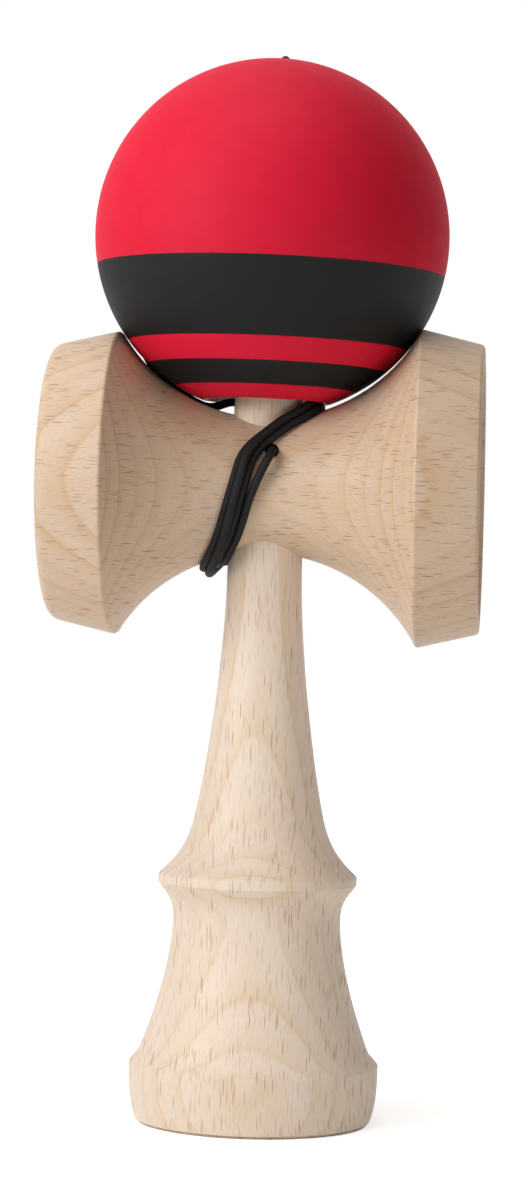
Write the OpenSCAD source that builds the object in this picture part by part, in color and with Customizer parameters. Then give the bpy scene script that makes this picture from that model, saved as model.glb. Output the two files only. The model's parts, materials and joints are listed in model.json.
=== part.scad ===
// Kendama, a wooden cup-and-ball toy, standing on its base cup with the ball on the spike.
// The ken is the handle with its spike. The sarado is the cross piece with two cups, wedged on the ken's taper.
// The tama is the ball. Its string is knotted in the ken, leaves the sarado at the front, winds round the
// sarado's waist and runs over the back of the tama to a bead inside it.
// Millimetres, +Z up the ken, +X towards the big cup, -Y towards the front. The origin is the base's centre.

/* [Tama] */
// Diameter of the ball
tama_d = 60.4; // [54:0.1:66]
// Diameter of the spike hole at the ball's surface
mouth_d = 22; // [20:0.5:24]
// Diameter of the spike hole
hole_d = 16.5; // [15:0.5:18]
// Wood left over the end of the spike hole
crown_t = 6.5; // [5:0.5:7.5]
// Diameter of the string hole through that wood
crown_hole_d = 3; // [2.4:0.2:3.6]
// Diameter of the string hole's countersink at the top of the ball
countersink_d = 6.6; // [5:0.2:8]
// Lean of the ball on its seat towards the big cup, in degrees
tama_lean = 1.1; // [0:0.1:2]

/* [Bead] */
// Diameter of the bead inside the ball
bead_d = 8; // [7:0.5:9]
// Height of the bead between its two flats
bead_h = 7.2; // [6:0.2:8]
// Diameter of the hole through the bead
bead_hole_d = 1.9; // [1.6:0.1:2.2]

/* [Sarado] */
// Diameter of the waist
waist_d = 23; // [21:0.5:25]
// Radius of the saddle between the two ridges
saddle_r = 29.7; // [28:0.1:32]
// Diameter of the ridge beside the big cup
big_ridge_d = 54.1; // [50:0.1:56]
// Diameter of the ridge beside the small cup
small_ridge_d = 51.8; // [48:0.1:54]
// From the ken's axis to the big cup's rim
big_reach = 36.7; // [34:0.1:40]
// From the ken's axis to the small cup's rim
small_reach = 36.7; // [34:0.1:40]
// Diameter over the big cup's rim
big_rim_d = 49; // [46:0.1:50]
// Diameter over the small cup's rim
small_rim_d = 46.7; // [44:0.1:48]
// Diameter of the big cup's mouth
big_cup_d = 44; // [41:0.5:45]
// Depth of the big cup
big_cup_depth = 12; // [8:0.5:14]
// Diameter of the small cup's mouth
small_cup_d = 40; // [37:0.5:41]
// Depth of the small cup
small_cup_depth = 10.5; // [8:0.5:13]
// Height of the string hole above the cups' axis
string_hole_rise = 5.6; // [5:0.1:7.5]
// Angle of the string hole from the front towards the big cup, in degrees
string_hole_turn = 9; // [6:1:14]
// Diameter of the string hole in the sarado
sarado_hole_d = 2.4; // [2:0.2:3.2]

/* [Ken foot] */
// Diameter of the foot band
foot_d = 42.5; // [40:0.1:45]
// Diameter of the foot band just above its lower edge
foot_low_d = 40; // [38.5:0.1:40.8]
// Height of the foot band up to its ledge
foot_h = 10.6; // [8:0.1:14]
// Height of the sloped ledge on the foot band
ledge_h = 1.3; // [0.8:0.1:2]
// Diameter of the flare where it meets the ledge
flare_d = 39.3; // [37:0.1:40.5]
// Height of the flare from the ledge to the neck
flare_h = 22.9; // [18:0.1:28]
// Diameter of the neck
neck_d = 28.6; // [26:0.1:30.5]
// Diameter of the base cup's mouth
base_cup_d = 34.8; // [32:0.1:37]
// Depth of the base cup
base_cup_depth = 9; // [6:0.5:11]

/* [Ken ring] */
// Diameter of the ring
ring_d = 33.9; // [33:0.1:36]
// Diameter of the ring's lower edge
ring_low_d = 32.4; // [31:0.1:32.8]
// Diameter of the ring's upper edge
ring_top_d = 33.2; // [32:0.1:33.4]
// Height of the hollow under the ring
ring_under_h = 4.8; // [3:0.1:7]
// Height of the ring's lower bevel
ring_bevel_h = 1.1; // [0.6:0.1:2]
// Height of the ring's band
ring_band_h = 1.2; // [0.6:0.1:2.5]
// Height of the ring's upper bevel
ring_top_h = 0.5; // [0.3:0.1:1]

/* [Ken handle and spike] */
// Diameter of the handle's shoulder above the ring
shoulder_d = 22; // [20:0.1:24]
// Height of the shoulder above the ring
shoulder_h = 9.6; // [7:0.1:14]
// Height of the handle from the shoulder to the taper that holds the sarado
handle_h = 40; // [34:0.5:46]
// Diameter at the start of the taper
stem_d = 12.8; // [12:0.1:14]
// Height of the cups' axis above the start of the taper
cup_axis_rise = 16.4; // [15.5:0.1:20]
// Clearance from the spike's tip to the knot under the bead
tip_gap = 2.4; // [1:0.1:5]
// Diameter of the spike at its rounded tip
tip_d = 4.8; // [4:0.1:6]
// Diameter of the string hole across the ken
ken_hole_d = 2; // [1.7:0.1:2.2]
// Diameter of the pocket for the knot at the back of the ken
pocket_d = 4.4; // [4:0.1:5]
// Depth of the pocket for the knot
pocket_depth = 3.7; // [3.2:0.1:4]

/* [String] */
// Diameter of the string
string_d = 1.2; // [1:0.05:1.4]
// Diameter of a knot
knot_d = 3.4; // [3:0.1:3.8]
// Diameter of a knot's flat on what it is pulled against
knot_flat_d = 2.6; // [2.3:0.1:2.8]

/* [Hidden] */

$fn = 96;
wood_colour = "#dcbf9c";
paint_colour = "#b8182f";
bead_colour = "#c9a173";
string_colour = "#1c1b1b";

// How far a cut runs past the face that it opens
overrun = 1;
// Clearance of the sarado on the ken's taper
taper_gap = 0.05;
// Clearance under the ball on the ridges, and over the bead in the ball
seat_gap = 0.1;
bead_gap = 0.2;
// Width of the flat lip round the mouth of the spike hole
lip_w = 0.3;
// Rounding of the edges
ridge_edge = 0.6;
big_rim_edge = 0.8;
small_rim_edge = 2.2;
foot_edge = 0.5;
ledge_edge = 0.5;
// Length of the drilled cone at the end of the spike hole, and depth of the countersink over the string hole
drill_tip_h = 4;
countersink_h = 2;
// Radius that the ken loses for each millimetre of its height in the sarado
taper_share = 0.02;
// Length of the taper that stands clear above the sarado, and height of the tip's dome
spike_root_h = 2;
tip_dome_h = 2.2;

// Places of a curve's two inner control points between its ends: across, then up
foot_shares = [[0.7, 0.22], [1, 0.55]];
flare_shares = [[0.5, 0.29], [1, 0.7]];
ring_under_shares = [[0, 0.38], [0.32, 0.71]];
shoulder_shares = [[0.56, 0.28], [0.84, 0.57]];
handle_shares = [[0.39, 0.2], [0.99, 0.7]];
spike_shares = [[0.22, 0.35], [0.7, 0.75]];
curve_steps = 14;
edge_steps = 5;
saddle_steps = 40;

tama_r = tama_d / 2;
mouth_r = mouth_d / 2;
hole_r = hole_d / 2;
crown_hole_r = crown_hole_d / 2;
bead_r = bead_d / 2;
waist_r = waist_d / 2;
big_ridge_r = big_ridge_d / 2;
small_ridge_r = small_ridge_d / 2;
foot_r = foot_d / 2;
foot_low_r = foot_low_d / 2;
flare_r = flare_d / 2;
neck_r = neck_d / 2;
ring_r = ring_d / 2;
ring_low_r = ring_low_d / 2;
ring_top_r = ring_top_d / 2;
shoulder_r = shoulder_d / 2;
stem_r = stem_d / 2;
tip_r = tip_d / 2;
knot_r = knot_d / 2;
string_r = string_d / 2;

// Heights up the ken
flare_z = foot_h + ledge_h;
neck_z = flare_z + flare_h;
ring_low_z = neck_z + ring_under_h;
ring_band_z = ring_low_z + ring_bevel_h;
ring_edge_z = ring_band_z + ring_band_h;
ring_top_z = ring_edge_z + ring_top_h;
shoulder_z = ring_top_z + shoulder_h;
stem_z = shoulder_z + handle_h;
cup_axis_z = stem_z + cup_axis_rise;
spike_z = cup_axis_z + waist_r + spike_root_h;
string_hole_z = cup_axis_z + string_hole_rise;

// Half angles of the saddle out to each ridge, and the ridges' places along the sarado
big_angle = acos((waist_r + saddle_r - big_ridge_r) / saddle_r);
small_angle = acos((waist_r + saddle_r - small_ridge_r) / saddle_r);
big_ridge_x = saddle_r * sin(big_angle);
small_ridge_x = saddle_r * sin(small_angle);

// The ball sinks until it meets the saddle, which it does first at the ridges
seat_r = tama_r + seat_gap;
function saddle_point(a) = [waist_r + saddle_r - saddle_r * cos(a), saddle_r * sin(a)];
function seat_rise(p) = abs(p.y) < seat_r ? p.x + sqrt(pow(seat_r, 2) - pow(p.y, 2)) : 0;
saddle_turn = big_angle + small_angle;
tama_z = cup_axis_z + max([
    for (i = [0 : saddle_steps]) seat_rise(saddle_point(saddle_turn * i / saddle_steps - small_angle))
]);

// Places along the ball's own axis, from its centre
mouth_at = -sqrt(pow(tama_r, 2) - pow(mouth_r, 2));
hole_end_at = tama_r - crown_t;
drill_angle = atan((hole_r - crown_hole_r) / drill_tip_h);
drill_point_at = hole_end_at + crown_hole_r / tan(drill_angle);
bead_at = drill_point_at - (bead_r + bead_gap) / sin(drill_angle);
bead_low_at = bead_at - bead_h / 2;
bead_top_at = bead_at + bead_h / 2;

// Distance from a knot's centre to its flat, and the spike's tip under the bead's knot
knot_flat_at = sqrt(pow(knot_r, 2) - pow(knot_flat_d / 2, 2));
tip_z = tama_z + (bead_low_at - knot_flat_at - knot_r) * cos(tama_lean) - tip_gap;

function ken_r(z) = stem_r - taper_share * (z - stem_z);
string_hole_ken_r = ken_r(string_hole_z);
pocket_floor_at = string_hole_ken_r - pocket_depth;

// Points along curves and round corners
function bezier(p, steps) = [
    for (i = [0 : steps])
        let (t = i / steps, s = 1 - t)
            s * s * s * p[0] + 3 * s * s * t * p[1] + 3 * s * t * t * p[2] + t * t * t * p[3]
];
function between(a, b, share) = [a.x + (b.x - a.x) * share.x, a.y + (b.y - a.y) * share.y];
function curve(a, b, shares) = bezier([a, between(a, b, shares[0]), between(a, b, shares[1]), b], curve_steps);
function unit(v) = v / norm(v);
function turned(v, angle) = [v.x * cos(angle) - v.y * sin(angle), v.x * sin(angle) + v.y * cos(angle)];
function rounded(a, corner, b, radius) =
    let (u = unit(a - corner), v = unit(b - corner), half = acos(u * v) / 2)
    let (centre = corner + unit(u + v) * radius / sin(half))
    let (first = corner + u * radius / tan(half) - centre)
    let (last = corner + v * radius / tan(half) - centre)
    let (turn = (180 - 2 * half) * sign(first.x * last.y - first.y * last.x))
    [for (i = [0 : edge_steps]) centre + turned(first, turn * i / edge_steps)];

// Half outline of the ken: radius, then height
function ken_outline() =
    let (foot_low = [foot_low_r, foot_edge], foot_corner = [foot_r, foot_h - ledge_edge])
    let (flare_low = [flare_r, flare_z], neck = [neck_r, neck_z], shoulder = [shoulder_r, shoulder_z])
    let (ring_low = [ring_low_r, ring_low_z], ring_top = [ring_top_r, ring_top_z], stem = [stem_r, stem_z])
    let (spike = [ken_r(spike_z), spike_z], dome = [tip_r, tip_z - tip_dome_h])
    concat(
        [[0, 0]],
        [for (i = [0 : edge_steps]) let (a = 90 * i / edge_steps)
            foot_low + foot_edge * [sin(a) - 1, -cos(a)]],
        curve(foot_low, [foot_r, foot_h - 2 * ledge_edge], foot_shares),
        rounded([foot_r, 0], foot_corner, flare_low, ledge_edge),
        curve(flare_low, neck, flare_shares),
        curve(neck, ring_low, ring_under_shares),
        [[ring_r, ring_band_z], [ring_r, ring_edge_z]],
        curve(ring_top, shoulder, shoulder_shares),
        curve(shoulder, stem, handle_shares),
        curve(spike, dome, spike_shares),
        [for (i = [1 : edge_steps]) let (a = 90 * i / edge_steps)
            [tip_r * cos(a), dome.y + tip_dome_h * sin(a)]]
    );

// Half outline of the sarado: radius, then place along its axis
function sarado_outline() =
    let (small_rim = [small_rim_d / 2, -small_reach], small_ridge = [small_ridge_r, -small_ridge_x])
    let (big_rim = [big_rim_d / 2, big_reach], big_ridge = [big_ridge_r, big_ridge_x])
    let (trim = 2 * ridge_edge / saddle_r * 180 / PI)
    let (low = trim - small_angle, high = big_angle - trim)
    let (saddle = [for (i = [0 : saddle_steps]) saddle_point(low + (high - low) * i / saddle_steps)])
    concat(
        [[0, -small_reach]],
        rounded([0, -small_reach], small_rim, small_ridge, small_rim_edge),
        rounded(small_rim, small_ridge, saddle[0], ridge_edge),
        saddle,
        rounded(saddle[saddle_steps], big_ridge, big_rim, ridge_edge),
        rounded(big_ridge, big_rim, [0, big_reach], big_rim_edge),
        [[0, big_reach]]
    );

// A shallow round hollow whose mouth is at z = 0 and whose bottom is below it
module cup_hollow(mouth, depth) {
    radius = (pow(mouth / 2, 2) + pow(depth, 2)) / (2 * depth);
    translate([0, 0, radius - depth]) sphere(r = radius);
}

// Places what follows the string hole: +Z there runs out of the front of the sarado
module at_string_hole() {
    translate([0, 0, string_hole_z]) rotate([0, 0, string_hole_turn]) rotate([90, 0, 0]) children();
}

// Places what follows the ball: the ball's centre, with its axis along +Z
module at_tama() {
    translate([0, 0, tama_z]) rotate([0, tama_lean, 0]) children();
}

// A knot drawn up against a seat: its flat is at z = 0 and the knot is below it
module knot() {
    difference() {
        translate([0, 0, -knot_flat_at]) sphere(d = knot_d);
        translate([-knot_d, -knot_d, 0]) cube([2 * knot_d, 2 * knot_d, knot_d]);
    }
}

module ken() {
    color(wood_colour) difference() {
        rotate_extrude() polygon(ken_outline());
        mirror([0, 0, 1]) cup_hollow(base_cup_d, base_cup_depth);
        at_string_hole() {
            translate([0, 0, -stem_r - overrun]) cylinder(d = ken_hole_d, h = 2 * (stem_r + overrun));
            translate([0, 0, -stem_r - overrun])
                cylinder(d = pocket_d, h = stem_r + overrun - pocket_floor_at);
        }
    }
}

module sarado() {
    bore_low_z = cup_axis_z - waist_r - overrun;
    bore_top_z = cup_axis_z + waist_r + overrun;
    color(wood_colour) difference() {
        translate([0, 0, cup_axis_z]) rotate([0, 90, 0]) difference() {
            rotate_extrude() polygon(sarado_outline());
            translate([0, 0, big_reach]) cup_hollow(big_cup_d, big_cup_depth);
            translate([0, 0, -small_reach]) mirror([0, 0, 1]) cup_hollow(small_cup_d, small_cup_depth);
        }
        translate([0, 0, bore_low_z]) cylinder(
            r1 = ken_r(bore_low_z) + taper_gap, r2 = ken_r(bore_top_z) + taper_gap, h = bore_top_z - bore_low_z
        );
        at_string_hole() cylinder(d = sarado_hole_d, h = waist_r + overrun);
    }
}

// Half outline of all that is cut from the ball, on its own axis: mouth, bevel, spike hole, drilled cone, string hole
// and countersink
function tama_hollow() =
    let (bevel_r = mouth_r - lip_w, low = -tama_r - overrun, high = tama_r + overrun)
    [
        [0, low], [mouth_r + overrun, low], [mouth_r + overrun, mouth_at],
        [bevel_r, mouth_at], [hole_r, mouth_at + bevel_r - hole_r],
        [hole_r, hole_end_at - drill_tip_h], [crown_hole_r, hole_end_at],
        [crown_hole_r, tama_r - countersink_h], [countersink_d / 2, tama_r],
        [countersink_d / 2, high], [0, high]
    ];

module tama() {
    color(paint_colour) at_tama() difference() {
        sphere(r = tama_r);
        rotate_extrude() polygon(tama_hollow());
    }
}

module bead() {
    color(bead_colour) at_tama() translate([0, 0, bead_at]) difference() {
        intersection() {
            sphere(r = bead_r);
            translate([-bead_r, -bead_r, -bead_h / 2]) cube([bead_d, bead_d, bead_h]);
        }
        translate([0, 0, -bead_r]) cylinder(d = bead_hole_d, h = bead_d);
    }
}

module bead_knot() {
    color(string_colour) at_tama() translate([0, 0, bead_low_at]) knot();
}

module ken_knot() {
    color(string_colour) at_string_hole() translate([0, 0, -pocket_floor_at]) knot();
}

// The string's winding round the sarado's waist. A turn starts at the top of the waist, and comes down the
// front, under the waist and up the back, where it moves over to the place of the next turn.
// Clearance of the string over the wood
string_gap = 0.2;
// Clearance of the turns beside the spike, at the top of the waist
spike_gap = 0.45;
// Step from one turn to the next, at the top of the waist
top_step = 1;
// Height of the turn that lies on its neighbours
stack_h = 1.6;
// Way of the turns along the sarado: the angle from the top of the waist, the place of the middle turn as a share
// of its place at the top, and the step from turn to turn as a share of the step at the top
turn_shares = [
    [0, 1, 1], [20, 0.88, 1.2], [40, 0.28, 1.42], [65, -0.26, 1.25], [90, -0.44, 1.15], [130, -0.8, 1.15],
    [160, -1.15, 1.1], [180, -1.3, 1.05], [200, -1.18, 1.25], [230, -0.64, 1.9], [270, 0, 2.3],
    [310, 0.46, 2], [340, 0.9, 1.3]
];
// Each turn's place in steps from the middle one, its layer on the others, and where a turn moves over at the back
place_shares = [2.75, 1, 0, -1, -2];
layer_shares = [0, 0, 1, 0, 0];
move_shares = [0.55, 0.95];
// Counts of turns: where the string joins the winding and where it leaves it
join_turn = 0.31;
leave_turn = 3.7;
rings_per_turn = 24;
winding_sides = 6;
stretch_sides = 8;
// Gap between the string's ends where the sarado parts from the ken, to each side of their surfaces
part_gap = 0.07;
// Pull of the string on its way out of the hole, at the hole and at the winding
exit_pull = 4.5;
join_pull = 6;
exit_steps = 8;

top_x = ken_r(cup_axis_z + waist_r) + string_r + spike_gap + top_step;

// A smooth closed line through the rows of the turns' table, at an angle
turn_rows = len(turn_shares);
function row(i) = turn_shares[(i + turn_rows) % turn_rows] + [360 * floor(i / turn_rows), 0, 0];
function row_slope(i) = (row(i + 1) - row(i - 1)) / (row(i + 1)[0] - row(i - 1)[0]);
function row_before(phi) = max([for (i = [0 : turn_rows - 1]) turn_shares[i][0] <= phi ? i : 0]);
function turn_line(angle) =
    let (phi = angle - 360 * floor(angle / 360), i = row_before(phi))
    let (wide = row(i + 1)[0] - row(i)[0], t = (phi - row(i)[0]) / wide, s = 1 - t)
    s * s * (1 + 2 * t) * row(i) + s * s * t * wide * row_slope(i)
    + t * t * (1 + 2 * s) * row(i + 1) - t * t * s * wide * row_slope(i + 1);

// A turn's share in a list, moving over to the next one at the back
function eased(t) = t * t * (3 - 2 * t);
function moved(turn, shares) =
    let (k = floor(turn), t = (turn - k - move_shares[0]) / (move_shares[1] - move_shares[0]))
    let (m = eased(min(max(t, 0), 1)))
    shares[k] * (1 - m) + shares[k + 1] * m;
function winding_point(turn) =
    let (phi = 360 * turn, line = turn_line(phi))
    let (x = line[1] * top_x + moved(turn, place_shares) * line[2] * top_step)
    let (lift = string_r + string_gap + stack_h * moved(turn, layer_shares))
    let (r = waist_r + saddle_r - sqrt(pow(saddle_r - lift, 2) - x * x))
    [x, -r * sin(phi), cup_axis_z + r * cos(phi)];
turn_nudge = 0.001;
function winding_way(turn) = unit(winding_point(turn + turn_nudge) - winding_point(turn - turn_nudge));

// The string's way out of its hole in the sarado
hole_way = [sin(string_hole_turn), -cos(string_hole_turn), 0];
function hole_point(along) = [0, 0, string_hole_z] + along * hole_way;
hole_mouth_at = sqrt(pow(waist_r, 2) - pow(string_hole_rise, 2));
winding_start_at = string_hole_ken_r + taper_gap + part_gap;
tail_end_at = string_hole_ken_r - part_gap;
function hole_exit() =
    let (mouth = hole_point(hole_mouth_at), join = winding_point(join_turn))
    bezier([mouth, mouth + exit_pull * hole_way, join - join_pull * winding_way(join_turn), join], exit_steps);

function turns(step) = [for (turn = [join_turn + step : step : leave_turn - step / 2]) winding_point(turn)];
winding_end = winding_point(leave_turn) + string_d * winding_way(leave_turn);
function winding_route(step) = concat(
    [hole_point(winding_start_at), hole_point(winding_start_at + string_d)],
    hole_exit(),
    turns(step),
    [winding_point(leave_turn), winding_end]
);

// The string's stretch from the winding: up behind the spike, along the crease under the ball on the small cup's
// side, then up the back of the ball to the string hole in its crown
stretch_points = [
    [-3.3, 12.6, 110.2], [-2.3, 11.9, 113.6], [-2, 10.8, 116.8], [-2.6, 9.6, 119.5], [-4, 8.1, 121.6],
    [-5.7, 6.7, 122.8], [-7.4, 5.9, 122.8], [-9.1, 5.6, 122.2], [-10.9, 5.7, 122], [-12.7, 6.1, 122.6],
    [-14.5, 6.5, 123.6], [-16.4, 6.9, 125], [-19, 7.4, 127.2], [-21.5, 8.8, 129.7], [-23.3, 11.7, 133.3],
    [-23.5, 16.1, 138], [-22.1, 20.8, 143.5], [-19.3, 24.5, 149], [-15.7, 26.9, 155], [-11.9, 27.1, 161],
    [-8.2, 25.8, 166.6], [-5, 22.6, 172.1], [-2.4, 17.7, 176.4], [-0.6, 12, 179.5], [0.3, 8.4, 180.65],
    [0.8, 6.5, 181.15], [1.1, 5, 181.45], [1.3, 3.5, 181.6], [1.25, 1.95, 181.25], [1.1, 0.65, 180.3],
    [0.9, -0.05, 178.9], [0.75, -0.2, 177.3], [0.6, -0.1, 175.8]
];
function on_tama_axis(along) = [0, 0, tama_z] + along * [sin(tama_lean), 0, cos(tama_lean)];
function stretch_route() = concat(
    [winding_end, winding_end + string_d * winding_way(leave_turn)],
    stretch_points,
    [on_tama_axis(hole_end_at), on_tama_axis(bead_at), on_tama_axis(bead_low_at + string_d), on_tama_axis(bead_low_at)]
);

// A smooth line through a route's own points, with one more point between each two
function middle(a, b, c, d) = (9 * (b + c) - a - d) / 16;
function smoothed(p) = concat(
    [p[0], p[1]],
    [for (i = [1 : len(p) - 3]) each [middle(p[i - 1], p[i], p[i + 1], p[i + 2]), p[i + 1]]],
    [p[len(p) - 1]]
);

// A tube of triangles along points. Its first side is carried along from ring to ring, so that it doesn't twist.
function ways(p) = [
    for (i = [0 : len(p) - 1]) unit(p[min(i + 1, len(p) - 1)] - p[max(i - 1, 0)])
];
function across(v) = unit(abs(v.z) < 0.9 ? cross(v, [0, 0, 1]) : cross(v, [1, 0, 0]));
function squared(v, way) = unit(v - (v * way) * way);
module tube(p, sides) {
    way = ways(p);
    side = [
        for (i = 0, s = across(way[0]); i < len(p); i = i + 1, s = i < len(p) ? squared(s, way[i]) : s) s
    ];
    last = (len(p) - 1) * sides;
    points = [
        for (i = [0 : len(p) - 1], k = [0 : sides - 1])
            let (a = 360 * k / sides)
            p[i] + string_r * (cos(a) * side[i] + sin(a) * cross(way[i], side[i]))
    ];
    walls = [
        for (i = [0 : len(p) - 2], k = [0 : sides - 1])
            let (a = i * sides + k, b = i * sides + (k + 1) % sides)
            each [[a, a + sides, b], [b, a + sides, b + sides]]
    ];
    first_end = [for (k = [1 : sides - 2]) [0, k, k + 1]];
    last_end = [for (k = [1 : sides - 2]) [last, last + k + 1, last + k]];
    polyhedron(points, concat(walls, first_end, last_end));
}

// The least gap from one turn of the winding to the next, measured on points
measure_step = 1 / 96;
measure_reach = 24;
function least_gap(p) = min([
    for (i = [0 : len(p) - 1], k = [i + measure_reach : len(p) - 1]) norm(p[i] - p[k])
]) - string_d;
echo(least_gap_between_turns = least_gap(winding_route(measure_step)));

module cord_tail() {
    points = [for (i = [0 : 4]) hole_point(pocket_floor_at * -1 + (tail_end_at + pocket_floor_at) * i / 4)];
    color(string_colour) tube(points, stretch_sides);
}

module cord_winding() {
    color(string_colour) tube(winding_route(1 / rings_per_turn), winding_sides);
}

module cord_stretch() {
    color(string_colour) tube(smoothed(stretch_route()), stretch_sides);
}

ken();
sarado();
tama();
bead();
bead_knot();
ken_knot();
cord_tail();
cord_winding();
cord_stretch();
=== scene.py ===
"""Looks of a kendama, a wooden cup-and-ball toy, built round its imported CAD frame.

Metres, +Z up the ken, +X towards the big cup, -Y towards the front. The origin is the base's centre.
"""

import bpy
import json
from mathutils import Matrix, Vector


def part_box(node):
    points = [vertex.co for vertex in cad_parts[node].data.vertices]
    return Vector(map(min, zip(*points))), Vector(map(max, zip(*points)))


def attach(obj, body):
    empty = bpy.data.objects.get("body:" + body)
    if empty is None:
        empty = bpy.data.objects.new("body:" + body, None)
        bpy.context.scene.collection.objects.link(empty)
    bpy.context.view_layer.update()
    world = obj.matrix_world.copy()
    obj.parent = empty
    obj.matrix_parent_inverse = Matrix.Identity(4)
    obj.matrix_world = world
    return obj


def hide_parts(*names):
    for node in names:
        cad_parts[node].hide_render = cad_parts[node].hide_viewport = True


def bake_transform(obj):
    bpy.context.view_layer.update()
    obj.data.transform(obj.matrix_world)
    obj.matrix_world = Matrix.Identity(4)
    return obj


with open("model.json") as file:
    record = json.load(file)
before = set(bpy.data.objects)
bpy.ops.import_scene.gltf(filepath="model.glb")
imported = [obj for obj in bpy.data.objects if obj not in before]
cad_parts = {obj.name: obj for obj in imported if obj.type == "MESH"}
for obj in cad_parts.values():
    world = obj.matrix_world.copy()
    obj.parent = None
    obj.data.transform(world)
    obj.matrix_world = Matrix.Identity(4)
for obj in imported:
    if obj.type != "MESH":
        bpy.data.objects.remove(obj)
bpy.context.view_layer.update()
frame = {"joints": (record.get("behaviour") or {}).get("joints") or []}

import json
import math
from itertools import repeat

import bmesh
import bpy
from bpy.props import FloatProperty, FloatVectorProperty, IntProperty, PointerProperty
from bpy.types import NodeSocket, Operator, Panel, PropertyGroup
from mathutils import Matrix, Vector
from mathutils.geometry import interpolate_bezier

bl_info = {
    "name": "Kendama",
    "version": (1, 0, 0),
    "blender": (4, 5, 0),
    "location": "View3D > Sidebar > Kendama",
    "description": "Dresses a kendama's frame in turned beech, paint and braided string",
    "category": "Object",
}

MM = 0.001
PER_MM = 1000.0

# Places that come from the frame
SPIN = next(joint for joint in frame["joints"] if joint["name"] == "tama_spin")
BALL_CENTRE = Vector(SPIN["pos_m"])
BALL_AXIS = Vector(SPIN["axis"])
SARADO_LOW, SARADO_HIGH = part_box("sarado")
CUP_AXIS_Z = (SARADO_LOW.z + SARADO_HIGH.z) / 2
TIP_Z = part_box("ken")[1].z


def linear(red, green, blue):
    """A colour written as on a screen, 0 to 255, as Blender's linear colour."""
    shares = [value / 255 for value in (red, green, blue)]
    return [s / 12.92 if s <= 0.04045 else ((s + 0.055) / 1.055) ** 2.4 for s in shares] + [1.0]


def length(name, millimetres, text):
    """A size that a user may change."""
    return FloatProperty(name=name, description=text, default=millimetres * MM, precision=5, unit='LENGTH')


def angle(name, degrees, text):
    """An angle that a user may change."""
    return FloatProperty(name=name, description=text, default=math.radians(degrees), subtype='ANGLE')


def power(name, watts, text):
    """A lamp's power that a user may change."""
    return FloatProperty(name=name, description=text, default=watts, unit='POWER')


def colour(name, screen, text):
    """A colour that a user may change."""
    return FloatVectorProperty(
        name=name, description=text, default=linear(*screen), size=4, min=0.0, max=1.0, subtype='COLOR'
    )


class KendamaBall(PropertyGroup):
    """The ball and the bead inside it."""

    ball_d: length("Ball", 60.4, "Diameter of the ball")
    mouth_d: length("Mouth", 22, "Diameter of the spike hole at the ball's surface")
    hole_d: length("Spike hole", 16.5, "Diameter of the spike hole")
    crown_t: length("Crown", 6.5, "Wood left over the end of the spike hole")
    crown_hole_d: length("String hole", 3, "Diameter of the string hole through the crown")
    countersink_d: length("Countersink", 6.6, "Diameter of the string hole's countersink")
    bead_d: length("Bead", 8, "Diameter of the bead")
    bead_h: length("Bead height", 7.2, "Height of the bead between its two flats")
    bead_hole_d: length("Bead hole", 1.9, "Diameter of the hole through the bead")
    stripe_top: length("Stripe top", -5.95, "Upper edge of the broad stripe, from the ball's centre")
    stripe_low: length("Stripe bottom", -18.6, "Lower edge of the broad stripe, from the ball's centre")
    line_top: length("Line top", -22.35, "Upper edge of the narrow stripe, from the ball's centre")
    line_low: length("Line bottom", -26.0, "Lower edge of the narrow stripe, from the ball's centre")
    paint: colour("Paint", (214, 18, 51), "Colour of the ball's paint")
    stripe: colour("Stripe", (11, 10, 10), "Colour of the two stripes")


class KendamaSarado(PropertyGroup):
    """The cross piece with two cups."""

    waist_d: length("Waist", 23, "Diameter of the waist")
    saddle_r: length("Saddle", 29.7, "Radius of the saddle between the two ridges")
    big_ridge_d: length("Big ridge", 54.1, "Diameter of the ridge beside the big cup")
    small_ridge_d: length("Small ridge", 51.8, "Diameter of the ridge beside the small cup")
    big_reach: length("Big reach", 36.7, "From the ken's axis to the big cup's rim")
    small_reach: length("Small reach", 36.7, "From the ken's axis to the small cup's rim")
    big_rim_d: length("Big rim", 49, "Diameter over the big cup's rim")
    small_rim_d: length("Small rim", 46.7, "Diameter over the small cup's rim")
    big_cup_d: length("Big cup", 44, "Diameter of the big cup's mouth")
    big_cup_depth: length("Big cup depth", 12, "Depth of the big cup")
    small_cup_d: length("Small cup", 40, "Diameter of the small cup's mouth")
    small_cup_depth: length("Small cup depth", 10.5, "Depth of the small cup")
    string_hole_rise: length("String hole rise", 5.6, "Height of the string hole above the cups' axis")
    string_hole_turn: angle("String hole turn", 9, "Turn of the hole from the front towards the big cup")
    string_hole_d: length("String hole", 2.4, "Diameter of the string hole")


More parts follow.
